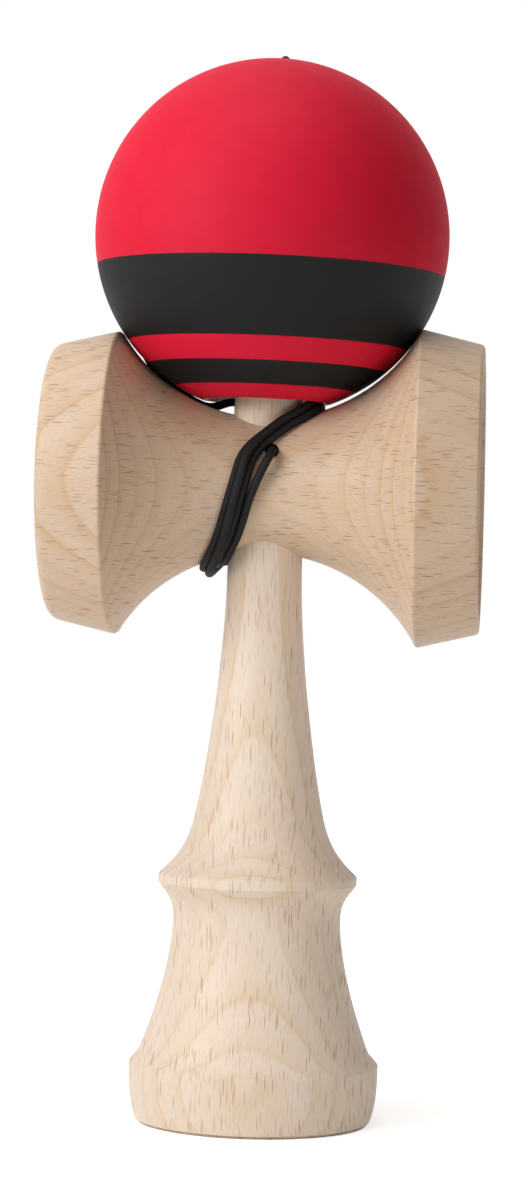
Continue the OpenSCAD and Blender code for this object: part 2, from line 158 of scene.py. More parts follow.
class KendamaKen(PropertyGroup):
    """The handle with its spike."""

    foot_d: length("Foot", 42.5, "Diameter of the foot band")
    foot_low_d: length("Foot's lower edge", 40, "Diameter of the foot band just above its lower edge")
    foot_h: length("Foot height", 10.6, "Height of the foot band up to its ledge")
    ledge_h: length("Ledge", 1.3, "Height of the sloped ledge on the foot band")
    flare_d: length("Flare", 39.3, "Diameter of the flare where it meets the ledge")
    flare_h: length("Flare height", 22.9, "Height of the flare from the ledge to the neck")
    neck_d: length("Neck", 28.6, "Diameter of the neck")
    base_cup_d: length("Base cup", 34.8, "Diameter of the base cup's mouth")
    base_cup_depth: length("Base cup depth", 9, "Depth of the base cup")
    ring_d: length("Ring", 33.9, "Diameter of the ring")
    ring_low_d: length("Ring's lower edge", 32.4, "Diameter of the ring's lower edge")
    ring_top_d: length("Ring's upper edge", 33.2, "Diameter of the ring's upper edge")
    ring_under_h: length("Under the ring", 4.8, "Height of the hollow under the ring")
    ring_bevel_h: length("Ring bevel", 1.1, "Height of the ring's lower bevel")
    ring_band_h: length("Ring band", 1.2, "Height of the ring's band")
    ring_top_h: length("Ring top", 0.5, "Height of the ring's upper bevel")
    shoulder_d: length("Shoulder", 22, "Diameter of the handle's shoulder above the ring")
    shoulder_h: length("Shoulder height", 9.6, "Height of the shoulder above the ring")
    handle_h: length("Handle", 40, "Height of the handle from the shoulder to the taper")
    stem_d: length("Stem", 12.8, "Diameter at the start of the taper")
    tip_d: length("Tip", 4.8, "Diameter of the spike at its rounded tip")
    hole_d: length("String hole", 2, "Diameter of the string hole across the ken")
    pocket_d: length("Knot pocket", 4.4, "Diameter of the pocket for the knot")
    pocket_depth: length("Knot pocket depth", 3.7, "Depth of the pocket for the knot")


class KendamaString(PropertyGroup):
    """The braided string."""

    string_d: length("String", 1.45, "Diameter of the string over its braid")
    relief: length("Relief", 0.07, "Height of the braid's strands")
    plait: length("Plait", 0.62, "Length along the string from one crossing to the next")
    strands: IntProperty(name="Strands", description="Strands that run each way round the string", default=8)
    knot_d: length("Knot", 3.3, "Diameter of a knot")
    dye: colour("Dye", (24, 23, 23), "Colour of the string")


class KendamaWood(PropertyGroup):
    """The beech of the ken and the sarado."""

    pale: colour("Pale wood", (221, 204, 188), "Colour of the early part of a ring in the ken")
    warm: colour("Warm wood", (207, 183, 159), "Colour of the early part of a ring in the sarado")
    ring: colour("Ring line", (212, 186, 155), "Colour of the late part of a ring in the ken")
    warm_ring: colour("Warm ring line", (194, 158, 120), "Colour of the late part of a ring in the sarado")
    fleck: colour("Fleck", (136, 80, 42), "Colour of the short dark flecks")
    bead: colour("Bead", (201, 161, 115), "Colour of the bead")
    ring_w: length("Ring width", 2.4, "Width of a year's ring")


class KendamaStage(PropertyGroup):
    """The camera, the light and the floor."""

    distance: length("Distance", 560, "From the camera to the ken's axis")
    height: length("Height", 88.9, "Height of the camera over the floor")
    azimuth: angle("Azimuth", 4.8, "Turn of the camera from the front towards the big cup")
    roll: angle("Roll", 1.34, "Roll of the camera")
    lens: FloatProperty(name="Lens", description="Focal length in millimetres", default=98.45)
    key: power("Key light", 7.1, "Power of the key light")
    key_colour: colour("Key colour", (248, 252, 255), "Colour of the key light")
    top: power("Top light", 4.6, "Power of the light overhead")
    bounce: power("Bounce light", 0.038, "Power of the low light on the big cup's side")
    sky: FloatProperty(name="Sky", description="Strength of the light from all round", default=0.3)


GROUPS = {
    "kendama_ball": KendamaBall,
    "kendama_sarado": KendamaSarado,
    "kendama_ken": KendamaKen,
    "kendama_string": KendamaString,
    "kendama_wood": KendamaWood,
    "kendama_stage": KendamaStage,
}


# Nodes


class Web:
    """Adds nodes to a tree and feeds their sockets."""

    def __init__(self, tree):
        self.tree = tree

    def put(self, kind, values=None, **settings):
        """A new node with its settings, and with values or links for its inputs by name or by number."""
        node = self.tree.nodes.new(kind)
        for key, value in settings.items():
            setattr(node, key, value)
        for key, value in (values or {}).items():
            self.feed(node.inputs[key], value)
        return node

    def feed(self, socket, value):
        """Links a socket, or sets its value."""
        if isinstance(value, NodeSocket):
            self.tree.links.new(value, socket)
        else:
            socket.default_value = value

    def math(self, operation, *values):
        """The result of a Math node."""
        return self.put('ShaderNodeMath', dict(enumerate(values)), operation=operation).outputs[0]

    def vector(self, operation, *values):
        """The result of a Vector Math node."""
        return self.put('ShaderNodeVectorMath', dict(enumerate(values)), operation=operation).outputs[0]

    def ramp(self, value, low, high, first=0.0, last=1.0):
        """A value eased from first to last as it goes from low to high."""
        values = {"Value": value, "From Min": low, "From Max": high, "To Min": first, "To Max": last}
        return self.put('ShaderNodeMapRange', values, interpolation_type='SMOOTHSTEP').outputs[0]

    def parts(self, vector):
        """The three parts of a vector."""
        return self.put('ShaderNodeSeparateXYZ', {0: vector}).outputs

    def object_place(self):
        """Places in the object's own frame."""
        return self.put('ShaderNodeTexCoord').outputs["Object"]

    def noise(self, place, scale=1.0, detail=2.0):
        """Smooth noise from 0 to 1."""
        return self.put('ShaderNodeTexNoise', {"Vector": place, "Scale": scale, "Detail": detail}).outputs[0]

    def bump(self, shader, height, strength, distance):
        """Feeds a shader's normal from a height."""
        values = {"Strength": strength, "Distance": distance, "Height": height}
        self.feed(shader.inputs["Normal"], self.put('ShaderNodeBump', values).outputs[0])

    def mix(self, share, first, second):
        """Two colours mixed."""
        node = self.put('ShaderNodeMix', data_type='RGBA')
        colours = [socket for socket in node.inputs if socket.type == 'RGBA']
        self.feed(node.inputs[0], share)
        self.feed(colours[0], first)
        self.feed(colours[1], second)
        return next(socket for socket in node.outputs if socket.type == 'RGBA')


def new_group(name, kind, inputs, outputs):
    """An empty node group with its sockets, and its two ends."""
    tree = bpy.data.node_groups.new(name, kind)
    for label, socket, default in inputs:
        made = tree.interface.new_socket(label, in_out='INPUT', socket_type=socket)
        if default is not None:
            made.default_value = default
    for label, socket in outputs:
        tree.interface.new_socket(label, in_out='OUTPUT', socket_type=socket)
    return tree, tree.nodes.new('NodeGroupInput'), tree.nodes.new('NodeGroupOutput')


def identifier(tree, label):
    """The identifier of one of a tree's inputs."""
    return next(
        item.identifier for item in tree.interface.items_tree if item.in_out == 'INPUT' and item.name == label
    )


# Geometry Nodes


SEAM_GAP = 0.001 * MM
JOIN_GAP = 0.002 * MM
SHARP_FROM = math.radians(32)


def end_tree(web, start, end, geometry):
    """Ends a tree with smooth shading, real geometry and its material."""
    smooth = web.put('GeometryNodeSetShadeSmooth', {"Geometry": geometry})
    real = web.put('GeometryNodeRealizeInstances', {"Geometry": smooth.outputs[0]})
    values = {"Geometry": real.outputs[0], "Material": start.outputs["Finish"]}
    web.feed(end.inputs[0], web.put('GeometryNodeSetMaterial', values).outputs[0])


def turned_tree():
    """A half outline turned round +Z. Its points are radius, then place along the axis."""
    name = "turned on a lathe"
    if name in bpy.data.node_groups:
        return bpy.data.node_groups[name]
    inputs = [
        ("Outline", 'NodeSocketGeometry', None),
        ("Sides", 'NodeSocketInt', 192),
        ("Circle", 'NodeSocketFloat', 50 * MM),
        ("Finish", 'NodeSocketMaterial', None),
    ]
    tree, start, end = new_group(name, 'GeometryNodeTree', inputs, [("Geometry", 'NodeSocketGeometry')])
    tree.is_modifier = True
    web = Web(tree)
    back = web.math('MULTIPLY', start.outputs["Circle"], -1.0)
    shift = web.put('ShaderNodeCombineXYZ', {"X": back}).outputs[0]
    moved = web.put('GeometryNodeTransform', {"Geometry": start.outputs["Outline"], "Translation": shift})
    line = web.put('GeometryNodeMeshToCurve', {"Mesh": moved.outputs[0]})
    values = {"Resolution": start.outputs["Sides"], "Radius": start.outputs["Circle"]}
    round_path = web.put('GeometryNodeCurvePrimitiveCircle', values)
    values = {"Curve": round_path.outputs[0], "Profile Curve": line.outputs[0]}
    swept = web.put('GeometryNodeCurveToMesh', values)
    closed = web.put('GeometryNodeMergeByDistance', {"Geometry": swept.outputs[0], "Distance": SEAM_GAP})
    end_tree(web, start, end, closed.outputs[0])
    return tree


def string_tree():
    """A braided string along a line of points, with its strands as relief."""
    name = "braided string"
    if name in bpy.data.node_groups:
        return bpy.data.node_groups[name]
    inputs = [
        ("Line", 'NodeSocketGeometry', None),
        ("Diameter", 'NodeSocketFloat', 1.4 * MM),
        ("Relief", 'NodeSocketFloat', 0.07 * MM),
        ("Plait", 'NodeSocketFloat', 0.6 * MM),
        ("Strands", 'NodeSocketInt', 8),
        ("Sides", 'NodeSocketInt', 32),
        ("Finish", 'NodeSocketMaterial', None),
    ]
    tree, start, end = new_group(name, 'GeometryNodeTree', inputs, [("Geometry", 'NodeSocketGeometry')])
    tree.is_modifier = True
    web = Web(tree)
    line = web.put('GeometryNodeMeshToCurve', {"Mesh": start.outputs["Line"]})
    along = web.put('GeometryNodeCaptureAttribute', {0: line.outputs[0]}, domain='POINT')
    along.capture_items.new('FLOAT', "along")
    web.feed(along.inputs[1], web.put('GeometryNodeSplineParameter').outputs["Length"])
    radius = web.math('MULTIPLY', start.outputs["Diameter"], 0.5)
    values = {"Resolution": start.outputs["Sides"], "Radius": radius}
    ring = web.put('GeometryNodeCurvePrimitiveCircle', values)
    around = web.put('GeometryNodeCaptureAttribute', {0: ring.outputs[0]}, domain='POINT')
    around.capture_items.new('FLOAT', "around")
    web.feed(around.inputs[1], web.put('GeometryNodeSplineParameter').outputs["Factor"])
    values = {"Curve": along.outputs[0], "Profile Curve": around.outputs[0], "Fill Caps": True}
    tube = web.put('GeometryNodeCurveToMesh', values)
    lay = web.math('DIVIDE', along.outputs[1], start.outputs["Plait"])
    turn = web.math('MULTIPLY', around.outputs[1], start.outputs["Strands"])
    one = web.math('COSINE', web.math('MULTIPLY', web.math('ADD', lay, turn), math.pi))
    other = web.math('COSINE', web.math('MULTIPLY', web.math('SUBTRACT', lay, turn), math.pi))
    over = web.math('MULTIPLY', one, other)
    first = web.math('MULTIPLY', web.math('ABSOLUTE', one), web.math('MULTIPLY_ADD', over, 0.5, 0.5))
    second = web.math('MULTIPLY', web.math('ABSOLUTE', other), web.math('MULTIPLY_ADD', over, -0.5, 0.5))
    height = web.math('MAXIMUM', first, second)
    out = web.math('MULTIPLY', web.math('SUBTRACT', height, 0.6), start.outputs["Relief"])
    normal = web.put('GeometryNodeInputNormal').outputs[0]
    offset = web.put('ShaderNodeVectorMath', {0: normal, "Scale": out}, operation='SCALE')
    values = {"Geometry": tube.outputs[0], "Name": "braid", "Value": height}
    marked = web.put('GeometryNodeStoreNamedAttribute', values, data_type='FLOAT', domain='POINT')
    values = {"Geometry": marked.outputs[0], "Offset": offset.outputs[0]}
    end_tree(web, start, end, web.put('GeometryNodeSetPosition', values).outputs[0])
    return tree


def new_object(name, data):
    """A new object in the scene."""
    thing = bpy.data.objects.new(name, data)
    bpy.context.scene.collection.objects.link(thing)
    return thing


def line_object(name, points, closed=False):
    """A new object whose mesh is a line through points."""
    edges = [(i, i + 1) for i in range(len(points) - 1)]
    if closed:
        edges.append((len(points) - 1, 0))
    mesh = bpy.data.meshes.new(name)
    mesh.from_pydata([tuple(point) for point in points], edges, [])
    return new_object(name, mesh)


def plain_mesh(thing):
    """Turns what an object's modifiers make into its own plain mesh."""
    bpy.context.view_layer.update()
    graph = bpy.context.evaluated_depsgraph_get()
    mesh = bpy.data.meshes.new_from_object(thing.evaluated_get(graph))
    thing.modifiers.clear()
    old = thing.data
    thing.data = mesh
    mesh.name = thing.name
    bpy.data.meshes.remove(old)
    if not mesh.polygons:
        raise RuntimeError(f"{thing.name} has no faces")
    return thing


def grown(thing, tree, values):
    """What a tree of Geometry Nodes makes of an object, as a plain mesh."""
    modifier = thing.modifiers.new("shape", 'NODES')
    modifier.node_group = tree
    for label, value in values.items():
        modifier[identifier(tree, label)] = value
    return plain_mesh(thing)


def finished(thing):
    """Closes seams, turns the faces outwards and shades the surfaces smooth between sharp edges."""
    shape = bmesh.new()
    shape.from_mesh(thing.data)
    bmesh.ops.remove_doubles(shape, verts=shape.verts, dist=JOIN_GAP)
    bmesh.ops.recalc_face_normals(shape, faces=shape.faces)
    shape.to_mesh(thing.data)
    shape.free()
    thing.data.shade_smooth()
    thing.data.set_sharp_from_angle(angle=SHARP_FROM)
    return thing


# Outlines


CURVE_STEPS = 36
EDGE_STEPS = 8
SADDLE_STEPS = 110
CUP_STEPS = 40
LEAST_STEP = 0.004 * MM
DRILL_OVERRUN = 1 * MM
HOLE_SIDES = 48
DRILL_TIP_H = 4 * MM
COUNTERSINK_H = 2 * MM
BEAD_GAP = 0.2 * MM
LIP_W = 0.3 * MM


def between(a, b, share):
    """A point at a share of the way from a to b, across and up."""
    return Vector((a.x + (b.x - a.x) * share[0], a.y + (b.y - a.y) * share[1]))


def curve(a, b, shares):
    """A curve from a to b, whose two inner control points are given as shares of the way."""
    ends = [a, between(a, b, shares[0]), between(a, b, shares[1]), b]
    return [point.to_2d() for point in interpolate_bezier(*[end.to_3d() for end in ends], CURVE_STEPS)]


def rounded(a, corner, b, radius):
    """An arc in place of the corner between a and b."""
    u = (a - corner).normalized()
    v = (b - corner).normalized()
    half = u.angle(v) / 2
    centre = corner + (u + v).normalized() * (radius / math.sin(half))
    first = corner + u * (radius / math.tan(half)) - centre
    turn = (math.pi - 2 * half) * (1 if first.x * v.y - first.y * v.x > 0 else -1)
    return [centre + Matrix.Rotation(turn * i / EDGE_STEPS, 2) @ first for i in range(EDGE_STEPS + 1)]


def rounded_line(points, edges):
    """A line of points with each of its inner corners rounded by its own radius."""
    made = []
    for a, corner, b, edge in zip(points, points[1:], points[2:], edges):
        made += rounded(a, corner, b, edge)
    return made


def arc(radius, first, last, steps):
    """Points round the origin from one angle to another, measured from straight outwards."""
    angles = [first + (last - first) * i / steps for i in range(steps + 1)]
    return [Vector((radius * math.cos(a), radius * math.sin(a))) for a in angles]


def cup(mouth, depth, rim_at, way):
    """A hollow's outline from its bottom to its mouth, which opens up (way 1) or down (way -1) the axis."""
    radius = ((mouth / 2) ** 2 + depth**2) / (2 * depth)
    last = math.asin(mouth / 2 / radius)
    return [
        Vector((radius * math.sin(a), rim_at + way * (radius - depth - radius * math.cos(a))))
        for a in (last * i / CUP_STEPS for i in range(CUP_STEPS + 1))
    ]


def cleaned(points):
    """Points without those that repeat the one before."""
    kept = [points[0]]
    for point in points[1:]:
        if (point - kept[-1]).length > LEAST_STEP:
            kept.append(point)
    return kept


def turned(name, outline, finish, place, sides, closed=False):
    """A piece turned from its half outline, in its place."""
    thing = line_object(name, [(p.x, -p.y, 0.0) for p in cleaned(outline)], closed)
    grown(thing, turned_tree(), {"Sides": sides, "Finish": finish})
    thing.data.transform(place)
    return finished(thing)


def drill(start, end, sides, start_r, end_r=None):
    """A round cutter from one point to another, straight or tapered."""
    shape = bmesh.new()
    way = end - start
    place = Matrix.Translation((start + end) / 2) @ way.to_track_quat('Z', 'Y').to_matrix().to_4x4()
    bmesh.ops.create_cone(
        shape, cap_ends=True, segments=sides, radius1=start_r,
        radius2=start_r if end_r is None else end_r, depth=way.length, matrix=place,
    )
    mesh = bpy.data.meshes.new("drill")
    shape.to_mesh(mesh)
    shape.free()
    return new_object("drill", mesh)


def drilled(thing, *cutters):
    """A piece with its cutters taken away from it."""
    for cutter in cutters:
        modifier = thing.modifiers.new("hole", 'BOOLEAN')
        modifier.operation = 'DIFFERENCE'
        modifier.solver = 'EXACT'
        modifier.object = cutter
    plain_mesh(thing)
    for cutter in cutters:
        mesh = cutter.data
        bpy.data.objects.remove(cutter)
        bpy.data.meshes.remove(mesh)
    return finished(thing)


# The string's way


TAPER_SHARE = 0.02
TAPER_GAP = 0.05 * MM
STRING_GAP = 0.04 * MM
SPIKE_GAP = 0.45 * MM
TOP_STEP = 1 * MM
STACK_H = 1.2 * MM
CAD_STRING_R = 0.6 * MM
# Angle from the top of the waist, place of the middle turn as a share of its place at the top, and step from
# turn to turn as a share of the step at the top
TURN_SHARES = (
    (0, 1, 1), (20, 0.88, 1.1), (40, 0.32, 1.15), (65, -0.24, 1.05), (90, -0.46, 1), (130, -0.78, 1),
    (160, -1.08, 1), (180, -1.2, 1), (200, -1.1, 1.2), (230, -0.62, 1.9), (270, 0, 2.3),
    (310, 0.46, 2), (340, 0.9, 1.3),
)
PLACE_SHARES = (2.5, 1, 0, -1, -2)
LAYER_SHARES = (0, 0, 1, 0, 0)
MOVE_SHARES = (0.55, 0.95)
JOIN_TURN = 0.31
LEAVE_TURN = 3.7
TURN_NUDGE = 0.001
EXIT_PULL = 4.5 * MM
JOIN_PULL = 6 * MM
PART_GAP = 0.07 * MM
RING_STEP = 0.155 * MM
EXIT_STEPS = 60
FINE_STEPS = 2000
KNOT_STEPS = 72
KNOT_H_SHARE = 1.1
# Points of the string's stretch, in millimetres: up behind the spike, along the crease under the ball on the
# small cup's side, then up the back of the ball to the string hole in its crown
STRETCH_POINTS = (
    (-3.3, 12.6, 110.2), (-2.3, 11.9, 113.6), (-2, 10.8, 116.8), (-2.6, 9.6, 119.5), (-4, 8.1, 121.6),
    (-5.7, 6.7, 122.8), (-7.4, 5.9, 122.8), (-9.1, 5.6, 122.2), (-10.9, 5.7, 122), (-12.7, 6.1, 122.6),
    (-14.5, 6.5, 123.6), (-16.4, 6.9, 125), (-19, 7.4, 127.2), (-21.5, 8.8, 129.7), (-23.3, 11.7, 133.3),
    (-23.5, 16.1, 138), (-22.1, 20.8, 143.5), (-19.3, 24.5, 149), (-15.7, 26.9, 155), (-11.9, 27.1, 161),
    (-8.2, 25.8, 166.6), (-5, 22.6, 172.1), (-2.4, 17.7, 176.4), (-0.6, 12, 179.5), (0.3, 8.4, 180.65),
    (0.8, 6.5, 181.15), (1.1, 5, 181.45), (1.3, 3.5, 181.6), (1.25, 1.95, 181.25), (1.1, 0.65, 180.3),
    (0.9, -0.05, 178.9), (0.75, -0.2, 177.3), (0.6, -0.1, 175.8),
)


def ken_radius(z, sizes):
    """Radius of the ken's taper at a height."""
    stem_z = stem_height(sizes)
    return sizes.stem_d / 2 - TAPER_SHARE * (z - stem_z)


def stem_height(sizes):
    """Height of the start of the ken's taper."""
    return shoulder_height(sizes) + sizes.handle_h


def shoulder_height(sizes):
    """Height of the handle's shoulder."""
    ring = sizes.ring_under_h + sizes.ring_bevel_h + sizes.ring_band_h + sizes.ring_top_h
    return sizes.foot_h + sizes.ledge_h + sizes.flare_h + ring + sizes.shoulder_h


def table_row(i):
    """A row of the turns' table, which goes on round and round."""
    count = len(TURN_SHARES)
    return Vector(TURN_SHARES[i % count]) + Vector((360 * (i // count), 0, 0))


def row_slope(i):
    """Change of the turns' table for each degree at a row."""
    step = table_row(i + 1) - table_row(i - 1)
    return step / step.x


def turn_line(angle):
    """A smooth line through the rows of the turns' table, at an angle."""
    phi = angle % 360
    i = max(k for k, row in enumerate(TURN_SHARES) if row[0] <= phi)
    wide = table_row(i + 1).x - table_row(i).x
    t = (phi - table_row(i).x) / wide
    s = 1 - t
    first = s * s * (1 + 2 * t) * table_row(i) + s * s * t * wide * row_slope(i)
    return first + t * t * (1 + 2 * s) * table_row(i + 1) - t * t * s * wide * row_slope(i + 1)


def moved(turn, shares):
    """A turn's share in a list, moving over to the next one at the back."""
    k = math.floor(turn)
    t = (turn - k - MOVE_SHARES[0]) / (MOVE_SHARES[1] - MOVE_SHARES[0])
    t = min(max(t, 0.0), 1.0)
    m = t * t * (3 - 2 * t)
    return shares[k] * (1 - m) + shares[k + 1] * m


def winding_point(turn, scene):
    """A point of the string's winding round the waist."""
    sarado = scene.kendama_sarado
    waist_r = sarado.waist_d / 2
    spike_r = ken_radius(CUP_AXIS_Z + waist_r, scene.kendama_ken)
    top_x = spike_r + CAD_STRING_R + SPIKE_GAP + TOP_STEP
    line = turn_line(360 * turn)
    x = line.y * top_x + moved(turn, PLACE_SHARES) * line.z * TOP_STEP
    lift = scene.kendama_string.string_d / 2 + STRING_GAP + STACK_H * moved(turn, LAYER_SHARES)
    r = waist_r + sarado.saddle_r - math.sqrt((sarado.saddle_r - lift) ** 2 - x * x)
    phi = 2 * math.pi * turn
    return Vector((x, -r * math.sin(phi), CUP_AXIS_Z + r * math.cos(phi)))


def winding_way(turn, scene):
    """The way that the string runs at a point of its winding."""
    return (winding_point(turn + TURN_NUDGE, scene) - winding_point(turn - TURN_NUDGE, scene)).normalized()


def hole_point(along, sarado):
    """A point on the string hole's axis, from the ken's axis out to the front."""
    turn = sarado.string_hole_turn
    return Vector((along * math.sin(turn), -along * math.cos(turn), CUP_AXIS_Z + sarado.string_hole_rise))


def evenly(points, step):
    """A line's points at even steps along it."""
    ends = [0.0]
    for a, b in zip(points, points[1:]):
        ends.append(ends[-1] + (b - a).length)
    count = max(2, round(ends[-1] / step))
    made = []
    k = 0
    for i in range(count + 1):
        at = ends[-1] * i / count
        while k < len(ends) - 2 and ends[k + 1] < at:
            k += 1
        share = (at - ends[k]) / max(ends[k + 1] - ends[k], 1e-12)
        made.append(points[k].lerp(points[k + 1], min(share, 1.0)))
    return made


def smoothed(points, rounds=4):
    """A smooth line through points, with points added halfway between them in each round."""
    for _ in range(rounds):
        more = [points[0]]
        for i in range(len(points) - 1):
            a, b = points[max(i - 1, 0)], points[i]
            c, d = points[i + 1], points[min(i + 2, len(points) - 1)]
            more += [(9 * (b + c) - a - d) / 16, c]
        points = more
    return points


def string_hole_ken_r(scene):
    """Radius of the ken at the string hole."""
    return ken_radius(CUP_AXIS_Z + scene.kendama_sarado.string_hole_rise, scene.kendama_ken)


def winding_path(scene):
    """The string from the ken's surface out of its hole and round the waist."""
    sarado = scene.kendama_sarado
    mouth_at = math.sqrt((sarado.waist_d / 2) ** 2 - sarado.string_hole_rise**2)
    start_at = string_hole_ken_r(scene) + TAPER_GAP + PART_GAP
    mouth = hole_point(mouth_at, sarado)
    out = (mouth - hole_point(0.0, sarado)).normalized()
    join = winding_point(JOIN_TURN, scene)
    pulled = join - winding_way(JOIN_TURN, scene) * JOIN_PULL
    points = [hole_point(start_at, sarado)]
    points += interpolate_bezier(mouth, mouth + out * EXIT_PULL, pulled, join, EXIT_STEPS)
    step = (LEAVE_TURN - JOIN_TURN) / FINE_STEPS
    points += [winding_point(JOIN_TURN + step * i, scene) for i in range(1, FINE_STEPS + 1)]
    points.append(winding_end(scene))
    return evenly(points, RING_STEP)


def winding_end(scene):
    """Where the string's stretch takes over from its winding."""
    return winding_point(LEAVE_TURN, scene) + winding_way(LEAVE_TURN, scene) * 2 * CAD_STRING_R


def ball_point(along):
    """A point on the ball's axis, from its centre."""
    return BALL_CENTRE + BALL_AXIS * along


def bead_place(ball):
    """Place of the bead's centre along the ball's axis, against the drilled cone."""
    drill_angle = math.atan((ball.hole_d - ball.crown_hole_d) / 2 / DRILL_TIP_H)
    point_at = ball.ball_d / 2 - ball.crown_t + ball.crown_hole_d / 2 / math.tan(drill_angle)
    return point_at - (ball.bead_d / 2 + BEAD_GAP) / math.sin(drill_angle)


def stretch_path(scene):
    """The string from its winding up to the bead in the ball."""
    ball = scene.kendama_ball
    start = winding_end(scene)
    way = winding_way(LEAVE_TURN, scene)
    bead_at = bead_place(ball)
    bead_low = bead_at - ball.bead_h / 2
    points = [start, start + way * 2 * CAD_STRING_R]
    points += [Vector(point) * MM for point in STRETCH_POINTS]
    points += [ball_point(at) for at in (ball.ball_d / 2 - ball.crown_t, bead_at, bead_low)]
    return evenly(smoothed(points), RING_STEP)


def string_piece(name, path, scene):
    """A length of braided string along a path."""
    string = scene.kendama_string
    values = {
        "Diameter": string.string_d, "Relief": string.relief, "Plait": string.plait,
        "Strands": string.strands, "Finish": string_finish(scene),
    }
    return grown(line_object(name, path), string_tree(), values)


def knot_path(centre, way, size, cord_d):
    """A small overhand knot's closed line round a point, flat to the way of the string."""
    turn = way.to_track_quat('Z', 'Y').to_matrix()
    # The line reaches three times this from its centre
    reach = (size - cord_d) / 6
    points = []
    for i in range(KNOT_STEPS + 1):
        t = 2 * math.pi * i / KNOT_STEPS
        x = reach * (math.sin(t) + 2 * math.sin(2 * t))
        y = reach * (math.cos(t) - 2 * math.cos(2 * t))
        z = -reach * KNOT_H_SHARE * math.sin(3 * t)
        points.append(centre + turn @ Vector((x, y, z)))
    return points


def knot_piece(name, centre, way, scene):
    """A knot in the string round a point."""
    string = scene.kendama_string
    path = knot_path(centre, way, string.knot_d, string.string_d)
    return string_piece(name, evenly(path, RING_STEP), scene)


# Finishes


WOOD_SPECULAR = 0.35
MATT_SPECULAR = 0.2
# Strength and depth of each finish's bump
WOOD_BUMP = (0.25, 0.1 * MM)
PAINT_BUMP = (0.12, 0.1 * MM)
THREAD_BUMP = (0.3, 0.04 * MM)
# Scales of the grain's noises, for each millimetre along the grain, outwards and across
WANDER_SCALE = (0.018, 0.05, 0.05)
FIBRE_SCALE = (0.35, 4.5, 4.5)
DRIFT_SCALE = (0.03, 0.16, 0.16)
# How far the rings wander in millimetres, then their late wood and their line as shares of a ring's width
RING_WANDER = 1.6
LATE_FROM = 0.3
LATE_TO = 0.92
LATE_DEPTH = 0.5
LINE_FROM = 0.76
LINE_TO = 0.9
LINE_DEPTH = 0.3
LEAST_YEAR = 0.4
# The drift of tone: the broad noise's share in it, the noise that it runs over and its depth
BROAD_SHARE = 0.4
DRIFT_FROM = 0.36
DRIFT_TO = 0.64
DRIFT_DEPTH = 0.4
# Two kinds of fleck: share of the pitch along the grain, cells to a millimetre outwards and across, and seed
FLECK_KINDS = ((1.0, 0.22, 4.8, 0.0), (1.6, 0.3, 6.5, 37.0))
FLECK_CORE = 0.2
FLECK_EDGE = 0.38
LEAST_FLECK = 0.4
SECOND_FLECKS = 0.5
FLECK_COVER = 0.85
# The wood's roughness and height: its own, then what fibres and flecks add
WOOD_ROUGHNESS = 0.42
FIBRE_ROUGHNESS = 0.16
FLECK_ROUGHNESS = 0.12
FIBRE_HEIGHT = 0.35
FLECK_HEIGHT = -0.6
# The paint: scales of its noises for each millimetre, its stripes' edges in millimetres, and its tone
RIPPLE_SCALE = 0.9
CLOUD_SCALE = 0.3
SKIN_SCALE = 0.5
STRIPE_WAVE = 0.08
STRIPE_BLUR = 0.05
DEEP_PAINT = 0.96
PAINT_ROUGHNESS = 0.6
CLOUD_ROUGHNESS = 0.1
# The thread: scale of its fuzz for each metre, and its tone on crowns, a painted sheen, and in grooves, a
# painted shade
FUZZ_SCALE = 9000.0
CROWN_SHEEN_TONE = 1.35
GROOVE_SHADE_TONE = 0.4
THREAD_ROUGHNESS = 0.5
FUZZ_ROUGHNESS = 0.3


